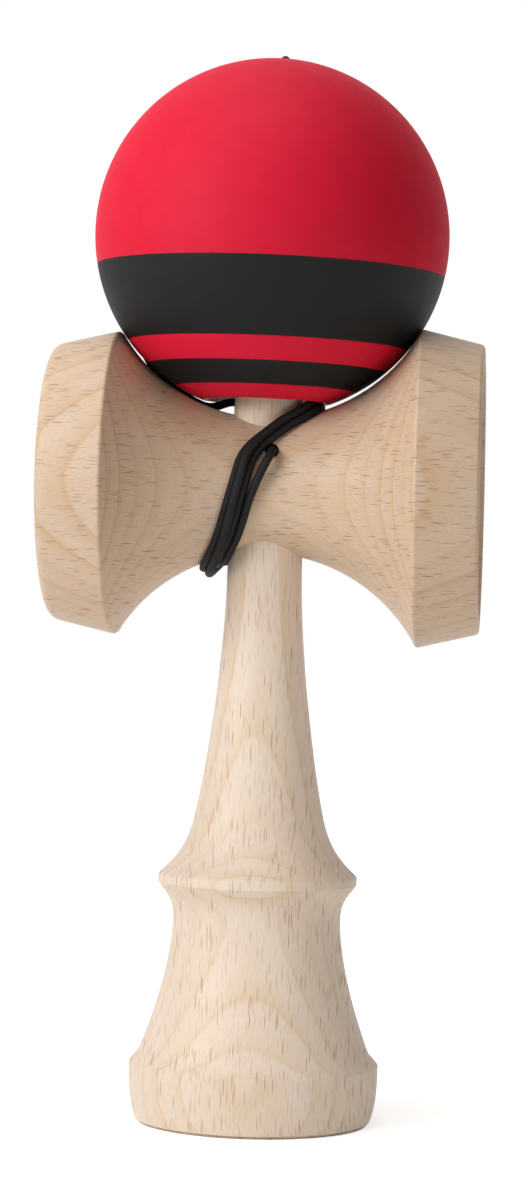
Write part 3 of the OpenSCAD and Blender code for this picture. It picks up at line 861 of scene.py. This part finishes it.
def beech_grain():
    """Growth rings, fibres and short dark flecks of beech, on a vector in millimetres.

    The vector's parts are along the grain, outwards through the rings, and across.
    """
    name = "beech grain"
    if name in bpy.data.node_groups:
        return bpy.data.node_groups[name]
    inputs = [
        ("Vector", 'NodeSocketVector', None),
        ("Ring Width", 'NodeSocketFloat', 2.4),
        ("Ring Bow", 'NodeSocketFloat', 90.0),
        ("Ring Tilt", 'NodeSocketFloat', 0.0),
        ("Ring Start", 'NodeSocketFloat', 0.0),
        ("Pale", 'NodeSocketColor', (0.8, 0.6, 0.4, 1.0)),
        ("Ring", 'NodeSocketColor', (0.6, 0.4, 0.2, 1.0)),
        ("Fleck", 'NodeSocketColor', (0.3, 0.15, 0.05, 1.0)),
        ("Fleck Share", 'NodeSocketFloat', 0.3),
        ("Fleck Pitch", 'NodeSocketFloat', 0.2),
    ]
    outputs = [("Color", 'NodeSocketColor'), ("Roughness", 'NodeSocketFloat'), ("Height", 'NodeSocketFloat')]
    tree, start, end = new_group(name, 'ShaderNodeTree', inputs, outputs)
    web = Web(tree)
    place = start.outputs["Vector"]
    along, outward, across = web.parts(place)

    # Rings: cylinders about a far pith, which wander a little
    wander = web.noise(web.vector('MULTIPLY', place, WANDER_SCALE))
    deep = web.math('ADD', outward, start.outputs["Ring Bow"])
    far = web.math('SQRT', web.math('MULTIPLY_ADD', across, across, web.math('MULTIPLY', deep, deep)))
    at = web.math('SUBTRACT', far, start.outputs["Ring Bow"])
    at = web.math('MULTIPLY_ADD', along, start.outputs["Ring Tilt"], at)
    at = web.math('MULTIPLY_ADD', web.math('SUBTRACT', wander, 0.5), RING_WANDER, at)
    at = web.math('SUBTRACT', at, start.outputs["Ring Start"])
    at = web.math('DIVIDE', at, start.outputs["Ring Width"])
    share = web.math('FRACT', at)
    year = web.put('ShaderNodeTexWhiteNoise', {"W": web.math('FLOOR', at)}, noise_dimensions='1D').outputs[0]
    late = web.ramp(share, LATE_FROM, LATE_TO, 0.0, LATE_DEPTH)
    ending = web.ramp(share, LINE_TO, 1.0, 1.0, 0.0)
    line = web.math('MULTIPLY', web.ramp(share, LINE_FROM, LINE_TO), ending)
    ringed = web.math('MULTIPLY_ADD', line, LINE_DEPTH, web.math('MULTIPLY', late, ending))
    ringed = web.math('MULTIPLY', ringed, web.math('MULTIPLY_ADD', year, 1 - LEAST_YEAR, LEAST_YEAR))

    # Fibres: fine streaks along the grain, and a broad drift of tone
    fine = web.noise(web.vector('MULTIPLY', place, FIBRE_SCALE), detail=3.0)
    broad = web.noise(web.vector('MULTIPLY', place, DRIFT_SCALE))

    # Flecks: cut rays, short and thin, only some of the cells. A cell's colour is its point's place in it, so
    # the pick goes by the part across the grain, where the cells are too thin for rows to show
    dashes = []
    for share, out_scale, across_scale, seed in FLECK_KINDS:
        pitch = web.math('MULTIPLY', start.outputs["Fleck Pitch"], share)
        scale = web.put('ShaderNodeCombineXYZ', {"X": pitch, "Y": out_scale, "Z": across_scale}).outputs[0]
        moved_place = web.vector('ADD', web.vector('MULTIPLY', place, scale), (seed, seed, seed))
        cells = web.put('ShaderNodeTexVoronoi', {"Vector": moved_place, "Scale": 1.0})
        _, luck, luck_across = web.parts(cells.outputs["Color"])
        picked = web.math('LESS_THAN', luck_across, start.outputs["Fleck Share"])
        shape = web.ramp(cells.outputs["Distance"], FLECK_CORE, FLECK_EDGE, 1.0, 0.0)
        strength = web.math('MULTIPLY_ADD', luck, 1 - LEAST_FLECK, LEAST_FLECK)
        dashes.append(web.math('MULTIPLY', web.math('MULTIPLY', shape, picked), strength))
    dash = web.math('MAXIMUM', dashes[0], web.math('MULTIPLY', dashes[1], SECOND_FLECKS))

    tone = web.mix(ringed, start.outputs["Pale"], start.outputs["Ring"])
    drift = web.math('MULTIPLY_ADD', broad, BROAD_SHARE, web.math('MULTIPLY', fine, 1 - BROAD_SHARE))
    tone = web.mix(web.ramp(drift, DRIFT_FROM, DRIFT_TO, DRIFT_DEPTH, 0.0), tone, start.outputs["Ring"])
    tone = web.mix(web.math('MULTIPLY', dash, FLECK_COVER), tone, start.outputs["Fleck"])
    web.feed(end.inputs["Color"], tone)
    rough = web.math('MULTIPLY_ADD', fine, FIBRE_ROUGHNESS, WOOD_ROUGHNESS)
    web.feed(end.inputs["Roughness"], web.math('MULTIPLY_ADD', dash, FLECK_ROUGHNESS, rough))
    height = web.math('MULTIPLY', fine, FIBRE_HEIGHT)
    web.feed(end.inputs["Height"], web.math('MULTIPLY_ADD', dash, FLECK_HEIGHT, height))
    return tree


def new_finish(name):
    """A new material, its web of nodes and its surface shader."""
    finish = bpy.data.materials.new(name)
    finish.use_nodes = True
    return finish, Web(finish.node_tree), finish.node_tree.nodes["Principled BSDF"]


def toned(tint, share):
    """A colour made lighter or darker by a share."""
    return [value * share for value in tint[:3]] + [1.0]


def turned_coordinates(web, turn, origin=Vector((0.0, 0.0, 0.0))):
    """Object coordinates in millimetres from an origin, turned into a piece's own frame."""
    shift = turn @ origin * -PER_MM
    values = {
        "Vector": web.object_place(), "Location": shift, "Rotation": turn.to_euler(),
        "Scale": (PER_MM, PER_MM, PER_MM),
    }
    return web.put('ShaderNodeMapping', values).outputs[0]


GRAIN_UP = Matrix(((0, 0, 1), (0, -1, 0), (1, 0, 0)))
GRAIN_ACROSS = Matrix(((1, 0, 0), (0, -1, 0), (0, 0, -1)))


def beech(name, wood, turn, origin=Vector((0.0, 0.0, 0.0)), **grain):
    """A beech finish with its grain turned to a piece, and measured from an origin."""
    finish, web, shader = new_finish(name)
    values = {
        "Vector": turned_coordinates(web, turn, origin), "Ring Width": wood.ring_w * PER_MM,
        "Pale": wood.pale, "Ring": wood.ring, "Fleck": wood.fleck,
    }
    values.update({key.replace("_", " ").title(): value for key, value in grain.items()})
    group = web.put('ShaderNodeGroup', values, node_tree=beech_grain())
    web.feed(shader.inputs["Base Color"], group.outputs["Color"])
    web.feed(shader.inputs["Roughness"], group.outputs["Roughness"])
    web.bump(shader, group.outputs["Height"], *WOOD_BUMP)
    web.feed(shader.inputs["Specular IOR Level"], WOOD_SPECULAR)
    return finish


def ball_turn():
    """Turns the object's frame into the ball's, with the ball's axis along +Z."""
    return BALL_AXIS.rotation_difference(Vector((0.0, 0.0, 1.0))).to_matrix()


def ball_place(centre):
    """Stands a piece that was turned round +Z on the ball's axis, at a centre."""
    return Matrix.Translation(centre) @ ball_turn().inverted().to_4x4()


def painted(ball):
    """Matt paint on the ball, with two stripes round it under its middle."""
    finish, web, shader = new_finish("ball paint")
    place = turned_coordinates(web, ball_turn(), BALL_CENTRE)
    at = web.parts(place)[2]
    ripple = web.math('SUBTRACT', web.noise(place, RIPPLE_SCALE), 0.5)
    edge = web.math('MULTIPLY_ADD', ripple, STRIPE_WAVE, at)
    stripes = []
    for low, top in ((ball.stripe_low, ball.stripe_top), (ball.line_low, ball.line_top)):
        over = web.ramp(edge, low * PER_MM - STRIPE_BLUR, low * PER_MM + STRIPE_BLUR)
        under = web.ramp(edge, top * PER_MM - STRIPE_BLUR, top * PER_MM + STRIPE_BLUR, 1.0, 0.0)
        stripes.append(web.math('MULTIPLY', over, under))
    striped = web.math('MAXIMUM', *stripes)
    cloud = web.noise(place, CLOUD_SCALE, 3.0)
    red = web.mix(web.ramp(cloud, 0.35, 0.65), ball.paint, toned(ball.paint, DEEP_PAINT))
    web.feed(shader.inputs["Base Color"], web.mix(striped, red, ball.stripe))
    web.feed(shader.inputs["Roughness"], web.math('MULTIPLY_ADD', cloud, CLOUD_ROUGHNESS, PAINT_ROUGHNESS))
    web.bump(shader, web.noise(place, SKIN_SCALE, 1.0), *PAINT_BUMP)
    web.feed(shader.inputs["Specular IOR Level"], MATT_SPECULAR)
    return finish


def string_finish(scene):
    """Black braided thread, with a painted sheen on its crowns and painted shade in its grooves."""
    name = "braided thread"
    if name in bpy.data.materials:
        return bpy.data.materials[name]
    finish, web, shader = new_finish(name)
    braid = web.put('ShaderNodeAttribute', attribute_name="braid").outputs["Fac"]
    dye = scene.kendama_string.dye
    # Painted shade in the braid's grooves and painted sheen on its crowns, following the braid's height
    thread = web.mix(web.ramp(braid, 0.35, 0.95), toned(dye, GROOVE_SHADE_TONE), toned(dye, CROWN_SHEEN_TONE))
    web.feed(shader.inputs["Base Color"], thread)
    fuzz = web.noise(web.object_place(), FUZZ_SCALE)
    web.feed(shader.inputs["Roughness"], web.math('MULTIPLY_ADD', fuzz, FUZZ_ROUGHNESS, THREAD_ROUGHNESS))
    web.bump(shader, fuzz, *THREAD_BUMP)
    web.feed(shader.inputs["Specular IOR Level"], MATT_SPECULAR)
    return finish


# Pieces


class KENDAMA_OT_camera(Operator):
    """Sets the camera at the photograph's viewing angle"""

    bl_idname = "kendama.camera"
    bl_label = "Camera"

    SENSOR_W = 36.0
    CLIP_NEAR = 10 * MM
    CLIP_FAR = 20.0

    def execute(self, context):
        stage = context.scene.kendama_stage
        data = bpy.data.cameras.new("camera")
        data.lens = stage.lens
        data.sensor_width = self.SENSOR_W
        data.clip_start = self.CLIP_NEAR
        data.clip_end = self.CLIP_FAR
        camera = new_object("camera", data)
        away = Matrix.Rotation(stage.azimuth, 4, 'Z')
        place = Matrix.Translation((0.0, -stage.distance, stage.height))
        level = Matrix.Rotation(math.radians(90), 4, 'X') @ Matrix.Rotation(stage.roll, 4, 'Z')
        camera.matrix_world = away @ place @ level
        context.scene.camera = camera
        return {'FINISHED'}


class KENDAMA_OT_string(Operator):
    """Lays the string: its tail in the ken, its winding, its stretch up the ball and its two knots"""

    bl_idname = "kendama.string"
    bl_label = "String"

    def execute(self, context):
        scene = context.scene
        string = scene.kendama_string
        sarado = scene.kendama_sarado
        ball = scene.kendama_ball

        pocket_at = scene.kendama_ken.pocket_depth - string_hole_ken_r(scene)
        out = (hole_point(1.0, sarado) - hole_point(0.0, sarado)).normalized()
        knot_r = string.knot_d / 2
        knot_at = hole_point(pocket_at, sarado) - out * knot_r
        tail_ends = (pocket_at - knot_r, string_hole_ken_r(scene) - PART_GAP)
        tail_path = evenly([hole_point(along, sarado) for along in tail_ends], RING_STEP)
        tail = string_piece("string_tail", tail_path, scene)
        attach(tail, "ken")
        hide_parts("cord_tail")
        knot = knot_piece("string_ken_knot", knot_at, out, scene)
        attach(knot, "ken")
        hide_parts("ken_knot")

        path = winding_path(scene)
        winding = string_piece("string_winding", path, scene)
        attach(winding, "sarado")
        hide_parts("cord_winding")

        way_up = stretch_path(scene)
        stretch = string_piece("string_stretch", way_up, scene)
        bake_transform(stretch)
        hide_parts("cord_stretch")
        bead_low = bead_place(ball) - ball.bead_h / 2
        bead_knot = knot_piece("string_bead_knot", ball_point(bead_low - knot_r), BALL_AXIS, scene)
        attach(bead_knot, "bead")
        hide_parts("bead_knot")
        return {'FINISHED'}


class KENDAMA_OT_ken(Operator):
    """Turns the ken: foot, flare, ring, handle and spike"""

    bl_idname = "kendama.ken"
    bl_label = "Ken"

    SIDES = 192
    CROSS_HOLE_SIDES = 32
    FOOT_EDGE = 0.5 * MM
    LEDGE_EDGE = 0.5 * MM
    RING_EDGE = 0.12 * MM
    CUP_EDGE = 0.35 * MM
    SPIKE_ROOT_H = 2 * MM
    TIP_DOME_H = 2.2 * MM
    FOOT_SHARES = ((0.7, 0.22), (1, 0.55))
    FLARE_SHARES = ((0.5, 0.29), (1, 0.7))
    RING_UNDER_SHARES = ((0, 0.38), (0.32, 0.71))
    SHOULDER_SHARES = ((0.56, 0.28), (0.84, 0.57))
    HANDLE_SHARES = ((0.39, 0.2), (0.99, 0.7))
    SPIKE_SHARES = ((0.22, 0.35), (0.7, 0.75))

    def outline(self, scene):
        """The ken's half outline, from the bottom of the base cup to the tip."""
        ken = scene.kendama_ken
        flare_z = ken.foot_h + ken.ledge_h
        neck_z = flare_z + ken.flare_h
        ring_low_z = neck_z + ken.ring_under_h
        band_z = ring_low_z + ken.ring_bevel_h
        edge_z = band_z + ken.ring_band_h
        top_z = edge_z + ken.ring_top_h
        shoulder_z = shoulder_height(ken)
        spike_z = CUP_AXIS_Z + scene.kendama_sarado.waist_d / 2 + self.SPIKE_ROOT_H
        hollow = cup(ken.base_cup_d, ken.base_cup_depth, 0.0, -1)
        rim = Vector((ken.foot_low_d / 2, 0.0))
        foot = Vector((ken.foot_d / 2, ken.foot_h - self.LEDGE_EDGE))
        foot_low = Vector((ken.foot_low_d / 2, self.FOOT_EDGE))
        foot_top = Vector((ken.foot_d / 2, ken.foot_h - 2 * self.LEDGE_EDGE))
        flare = Vector((ken.flare_d / 2, flare_z))
        neck = Vector((ken.neck_d / 2, neck_z))
        ring_low = Vector((ken.ring_low_d / 2, ring_low_z))
        band = Vector((ken.ring_d / 2, band_z))
        edge = Vector((ken.ring_d / 2, edge_z))
        top = Vector((ken.ring_top_d / 2, top_z))
        shoulder = Vector((ken.shoulder_d / 2, shoulder_z))
        stem = Vector((ken.stem_d / 2, stem_height(ken)))
        spike = Vector((ken_radius(spike_z, ken), spike_z))
        dome = Vector((ken.tip_d / 2, TIP_Z - self.TIP_DOME_H))
        under = curve(neck, ring_low, self.RING_UNDER_SHARES)
        over = curve(top, shoulder, self.SHOULDER_SHARES)
        points = hollow[:-1]
        points += rounded(hollow[-4], hollow[-1], rim, self.CUP_EDGE)
        points += rounded(hollow[-1], rim, foot_low + Vector((0.0, self.FOOT_EDGE)), self.FOOT_EDGE)
        points += curve(foot_low, foot_top, self.FOOT_SHARES)
        points += rounded(Vector((foot.x, 0.0)), foot, flare, self.LEDGE_EDGE)
        points += curve(flare, neck, self.FLARE_SHARES)
        points += under[:-1]
        points += rounded_line([under[-3], ring_low, band, edge, top, over[2]], repeat(self.RING_EDGE))
        points += over[1:]
        points += curve(shoulder, stem, self.HANDLE_SHARES)
        points += curve(spike, dome, self.SPIKE_SHARES)
        for i in range(1, EDGE_STEPS * 2 + 1):
            a = math.pi / 2 * i / (EDGE_STEPS * 2)
            points.append(Vector((dome.x * math.cos(a), dome.y + self.TIP_DOME_H * math.sin(a))))
        points[0].x = 0.0
        points[-1].x = 0.0
        return points

    def execute(self, context):
        scene = context.scene
        ken = scene.kendama_ken
        sarado = scene.kendama_sarado
        wood = beech("beech up the ken", scene.kendama_wood, GRAIN_UP, ring_start=-0.2, ring_tilt=0.01)
        piece = turned("ken_turned", self.outline(scene), wood, Matrix.Identity(4), self.SIDES)
        reach = ken.stem_d / 2 + DRILL_OVERRUN
        back = hole_point(-reach, sarado)
        pocket_floor = hole_point(ken.pocket_depth - string_hole_ken_r(scene), sarado)
        drilled(
            piece,
            drill(back, hole_point(reach, sarado), self.CROSS_HOLE_SIDES, ken.hole_d / 2),
            drill(back, pocket_floor, HOLE_SIDES, ken.pocket_d / 2),
        )
        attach(piece, "ken")
        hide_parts("ken")
        return {'FINISHED'}


class KENDAMA_OT_sarado(Operator):
    """Turns the sarado: two cups, two ridges and the saddle between them"""

    bl_idname = "kendama.sarado"
    bl_label = "Sarado"

    SIDES = 224
    BORE_SIDES = 128
    RIDGE_EDGE = 0.6 * MM
    BIG_RIM_EDGE = 0.8 * MM
    SMALL_RIM_EDGE = 2.2 * MM
    CUP_EDGE = 0.35 * MM

    def outline(self, sarado):
        """The sarado's half outline, from the bottom of the small cup to the bottom of the big cup."""
        waist_r = sarado.waist_d / 2
        saddle_r = sarado.saddle_r
        centre_r = waist_r + saddle_r
        big_angle = math.acos((centre_r - sarado.big_ridge_d / 2) / saddle_r)
        small_angle = math.acos((centre_r - sarado.small_ridge_d / 2) / saddle_r)
        trim = 2 * self.RIDGE_EDGE / saddle_r
        low = trim - small_angle
        high = big_angle - trim
        saddle = []
        for i in range(SADDLE_STEPS + 1):
            a = low + (high - low) * i / SADDLE_STEPS
            saddle.append(Vector((centre_r - saddle_r * math.cos(a), saddle_r * math.sin(a))))
        small_cup = cup(sarado.small_cup_d, sarado.small_cup_depth, -sarado.small_reach, -1)
        big_cup = cup(sarado.big_cup_d, sarado.big_cup_depth, sarado.big_reach, 1)
        small_rim = Vector((sarado.small_rim_d / 2, -sarado.small_reach))
        big_rim = Vector((sarado.big_rim_d / 2, sarado.big_reach))
        small_ridge = Vector((sarado.small_ridge_d / 2, -saddle_r * math.sin(small_angle)))
        big_ridge = Vector((sarado.big_ridge_d / 2, saddle_r * math.sin(big_angle)))
        points = small_cup[:-1]
        small_edges = (self.CUP_EDGE, self.SMALL_RIM_EDGE, self.RIDGE_EDGE)
        big_edges = (self.RIDGE_EDGE, self.BIG_RIM_EDGE, self.CUP_EDGE)
        points += rounded_line([small_cup[-4], small_cup[-1], small_rim, small_ridge, saddle[0]], small_edges)
        points += saddle
        points += rounded_line([saddle[-1], big_ridge, big_rim, big_cup[-1], big_cup[-4]], big_edges)
        points += reversed(big_cup[:-1])
        points[0].x = 0.0
        points[-1].x = 0.0
        return points

    def execute(self, context):
        scene = context.scene
        sarado = scene.kendama_sarado
        ken = scene.kendama_ken
        middle = Vector((0.0, 0.0, CUP_AXIS_Z))
        wood = beech(
            "beech along the sarado", scene.kendama_wood, GRAIN_ACROSS, middle, ring_start=13.7,
            ring_tilt=0.05, pale=scene.kendama_wood.warm, ring=scene.kendama_wood.warm_ring,
            fleck_pitch=0.28,
        )
        place = Matrix.Translation(middle) @ Matrix.Rotation(math.radians(90), 4, 'Y')
        piece = turned("sarado_turned", self.outline(sarado), wood, place, self.SIDES)
        low_z = CUP_AXIS_Z - sarado.waist_d / 2 - DRILL_OVERRUN
        top_z = CUP_AXIS_Z + sarado.waist_d / 2 + DRILL_OVERRUN
        low_r = ken_radius(low_z, ken) + TAPER_GAP
        top_r = ken_radius(top_z, ken) + TAPER_GAP
        front = hole_point(sarado.waist_d / 2 + DRILL_OVERRUN, sarado)
        drilled(
            piece,
            drill(Vector((0.0, 0.0, low_z)), Vector((0.0, 0.0, top_z)), self.BORE_SIDES, low_r, top_r),
            drill(hole_point(0.0, sarado), front, HOLE_SIDES, sarado.string_hole_d / 2),
        )
        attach(piece, "sarado")
        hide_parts("sarado")
        return {'FINISHED'}


class KENDAMA_OT_ball(Operator):
    """Turns the ball with its spike hole, and paints it"""

    bl_idname = "kendama.ball"
    bl_label = "Ball"

    SIDES = 224
    BALL_STEPS = 150
    EDGE = 0.15 * MM
    PAINT_T = 0.12 * MM

    def outline(self, ball):
        """The ball's closed half outline: the round outside, then down the string hole and the spike hole."""
        ball_r = ball.ball_d / 2
        sink_r = ball.countersink_d / 2
        hole_r = ball.hole_d / 2
        string_r = ball.crown_hole_d / 2
        mouth_at = -math.sqrt(ball_r**2 - (ball.mouth_d / 2) ** 2)
        bevel_r = ball.mouth_d / 2 - LIP_W
        end_at = ball_r - ball.crown_t
        first = math.asin(mouth_at / ball_r)
        last = math.acos(sink_r / ball_r)
        outside = arc(ball_r, first, last, self.BALL_STEPS)
        sink_low = Vector((string_r, outside[-1].y - COUNTERSINK_H))
        cone_top = Vector((string_r, end_at))
        cone_low = Vector((hole_r, end_at - DRILL_TIP_H))
        bevel_top = Vector((hole_r, mouth_at + bevel_r - hole_r))
        bevel_low = Vector((bevel_r, mouth_at))
        hole = [*outside[-2:], sink_low, cone_top, cone_low, bevel_top, bevel_low]
        return outside[:-1] + rounded_line(hole, repeat(self.EDGE)) + [bevel_low]

    def execute(self, context):
        scene = context.scene
        ball = scene.kendama_ball
        paint = painted(ball)
        bare = beech("bare beech in the ball", scene.kendama_wood, GRAIN_UP, BALL_CENTRE, ring_start=3.0)
        place = ball_place(BALL_CENTRE)
        piece = turned("tama_painted", self.outline(ball), paint, place, self.SIDES, closed=True)
        piece.data.materials.append(bare)
        bare_r = ball.ball_d / 2 - self.PAINT_T
        for face in piece.data.polygons:
            if (face.center - BALL_CENTRE).length < bare_r:
                face.material_index = 1
        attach(piece, "tama")
        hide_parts("tama")
        return {'FINISHED'}


class KENDAMA_OT_bead(Operator):
    """Turns the bead that holds the string inside the ball"""

    bl_idname = "kendama.bead"
    bl_label = "Bead"

    SIDES = 72
    EDGE = 0.3 * MM

    def execute(self, context):
        scene = context.scene
        ball = scene.kendama_ball
        bead_r = ball.bead_d / 2
        half = ball.bead_h / 2
        hole_r = ball.bead_hole_d / 2
        last = math.asin(half / bead_r)
        outside = arc(bead_r, -last, last, CURVE_STEPS)
        low = Vector((hole_r, -half))
        top = Vector((hole_r, half))
        points = outside[1:-1] + rounded_line([*outside[-2:], top, low, *outside[:2]], repeat(self.EDGE))
        finish = beech("bead wood", scene.kendama_wood, GRAIN_UP, pale=scene.kendama_wood.bead)
        place = ball_place(ball_point(bead_place(ball)))
        piece = turned("bead_turned", points, finish, place, self.SIDES, closed=True)
        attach(piece, "bead")
        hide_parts("bead")
        return {'FINISHED'}


class KENDAMA_OT_stage(Operator):
    """Lays a white floor and hangs soft studio lights"""

    bl_idname = "kendama.stage"
    bl_label = "Floor and lights"

    FLOOR_REACH = 4.0
    FLOOR_TONE = (243, 243, 243)
    FLOOR_ROUGHNESS = 0.9
    # The floor's own glow: its strength near the piece and far off, and where it rises
    GLOW_NEAR = 0.7
    GLOW_FAR = 1.0
    GLOW_FROM = 0.07
    GLOW_TO = 0.4
    # The sky's share on the small cup's side and on the big cup's side, where it eases over, and its tint
    SKY_LEFT = 1.4
    SKY_RIGHT = 0.1
    SKY_EASE = 0.7
    SKY_TINT = (255, 246, 236)
    WHITE = (1.0, 1.0, 1.0, 1.0)
    # Each lamp's name, place, target, size and spread
    LAMPS = (
        ("key", (-0.72, -0.62, 0.42), (0.0, 0.0, 0.1), 0.5, math.pi),
        ("top", (-0.15, -0.15, 1.1), (0.0, 0.0, 0.1), 0.7, math.pi),
        ("bounce", (0.42, -0.5, 0.03), (0.0, 0.0, 0.01), 0.15, math.radians(25)),
    )

    def seen(self, web):
        """1 where the camera sees a surface, straight or in gloss or glass."""
        path = web.put('ShaderNodeLightPath').outputs
        seen = web.math('MAXIMUM', path["Is Camera Ray"], path["Is Glossy Ray"])
        return web.math('MAXIMUM', seen, path["Is Transmission Ray"])

    def hang_lamps(self, stage):
        """Hangs soft square lamps, each aimed at a point."""
        for name, place, target, size, spread in self.LAMPS:
            data = bpy.data.lights.new(name, 'AREA')
            data.size = size
            data.energy = getattr(stage, name)
            data.spread = spread
            data.color = (stage.key_colour if name == "key" else self.WHITE)[:3]
            lamp = new_object(name, data)
            lamp.location = place
            way = Vector(target) - Vector(place)
            lamp.rotation_euler = way.to_track_quat('-Z', 'Y').to_euler()

    def execute(self, context):
        scene = context.scene
        stage = scene.kendama_stage
        scene.view_settings.view_transform = 'Standard'

        mesh = bpy.data.meshes.new("floor")
        corners = [(-1, -1), (1, -1), (1, 1), (-1, 1)]
        points = [(x * self.FLOOR_REACH, y * self.FLOOR_REACH, 0.0) for x, y in corners]
        mesh.from_pydata(points, [], [(0, 1, 2, 3)])
        floor = new_object("floor", mesh)
        finish, web, shader = new_finish("white floor")
        web.feed(shader.inputs["Base Color"], linear(*self.FLOOR_TONE))
        web.feed(shader.inputs["Roughness"], self.FLOOR_ROUGHNESS)
        web.feed(shader.inputs["Specular IOR Level"], 0.0)
        far = web.put('ShaderNodeVectorMath', {0: web.object_place()}, operation='LENGTH').outputs["Value"]
        glow = web.ramp(far, self.GLOW_FROM, self.GLOW_TO, self.GLOW_NEAR, self.GLOW_FAR)
        glow = web.put('ShaderNodeEmission', {"Strength": web.math('MULTIPLY', self.seen(web), glow)})
        both = web.put('ShaderNodeAddShader', {0: shader.outputs[0], 1: glow.outputs[0]})
        web.feed(finish.node_tree.nodes["Material Output"].inputs["Surface"], both.outputs[0])
        mesh.materials.append(finish)

        world = bpy.data.worlds.new("white studio")
        world.use_nodes = True
        scene.world = world
        web = Web(world.node_tree)
        sky = world.node_tree.nodes["Background"]
        way = web.put('ShaderNodeTexCoord').outputs["Generated"]
        side = web.parts(way)[0]
        left = self.SKY_LEFT * stage.sky
        right = self.SKY_RIGHT * stage.sky
        glow = web.ramp(side, -self.SKY_EASE, self.SKY_EASE, left, right)
        strength = web.put('ShaderNodeMix', {0: self.seen(web), 2: glow, 3: 1.0}, data_type='FLOAT')
        web.feed(sky.inputs["Color"], web.mix(self.seen(web), linear(*self.SKY_TINT), self.WHITE))
        web.feed(sky.inputs["Strength"], strength.outputs[0])
        self.hang_lamps(stage)
        return {'FINISHED'}


OPERATORS = (
    KENDAMA_OT_camera, KENDAMA_OT_string, KENDAMA_OT_ken, KENDAMA_OT_sarado, KENDAMA_OT_ball,
    KENDAMA_OT_bead, KENDAMA_OT_stage,
)


class KENDAMA_PT_pieces(Panel):
    """Lists the pieces in the order in which they are made"""

    bl_idname = "KENDAMA_PT_pieces"
    bl_label = "Kendama"
    bl_space_type = 'VIEW_3D'
    bl_region_type = 'UI'
    bl_category = "Kendama"

    def draw(self, context):
        for operator in OPERATORS:
            self.layout.operator(operator.bl_idname)
        for name, group in GROUPS.items():
            box = self.layout.box()
            box.label(text=name.replace("_", " ").title())
            for key in group.__annotations__:
                box.prop(getattr(context.scene, name), key)


def register():
    for name, group in GROUPS.items():
        bpy.utils.register_class(group)
        setattr(bpy.types.Scene, name, PointerProperty(type=group))
    for kind in (*OPERATORS, KENDAMA_PT_pieces):
        bpy.utils.register_class(kind)


def unregister():
    for kind in (KENDAMA_PT_pieces, *reversed(OPERATORS)):
        bpy.utils.unregister_class(kind)
    for name, group in GROUPS.items():
        delattr(bpy.types.Scene, name)
        bpy.utils.unregister_class(group)


def main():
    register()
    bpy.ops.kendama.camera()
    bpy.ops.kendama.string()
    bpy.ops.kendama.ken()
    bpy.ops.kendama.sarado()
    bpy.ops.kendama.ball()
    bpy.ops.kendama.bead()
    bpy.ops.kendama.stage()
    bpy.context.view_layer.update()


if __name__ == "__main__":
    main()
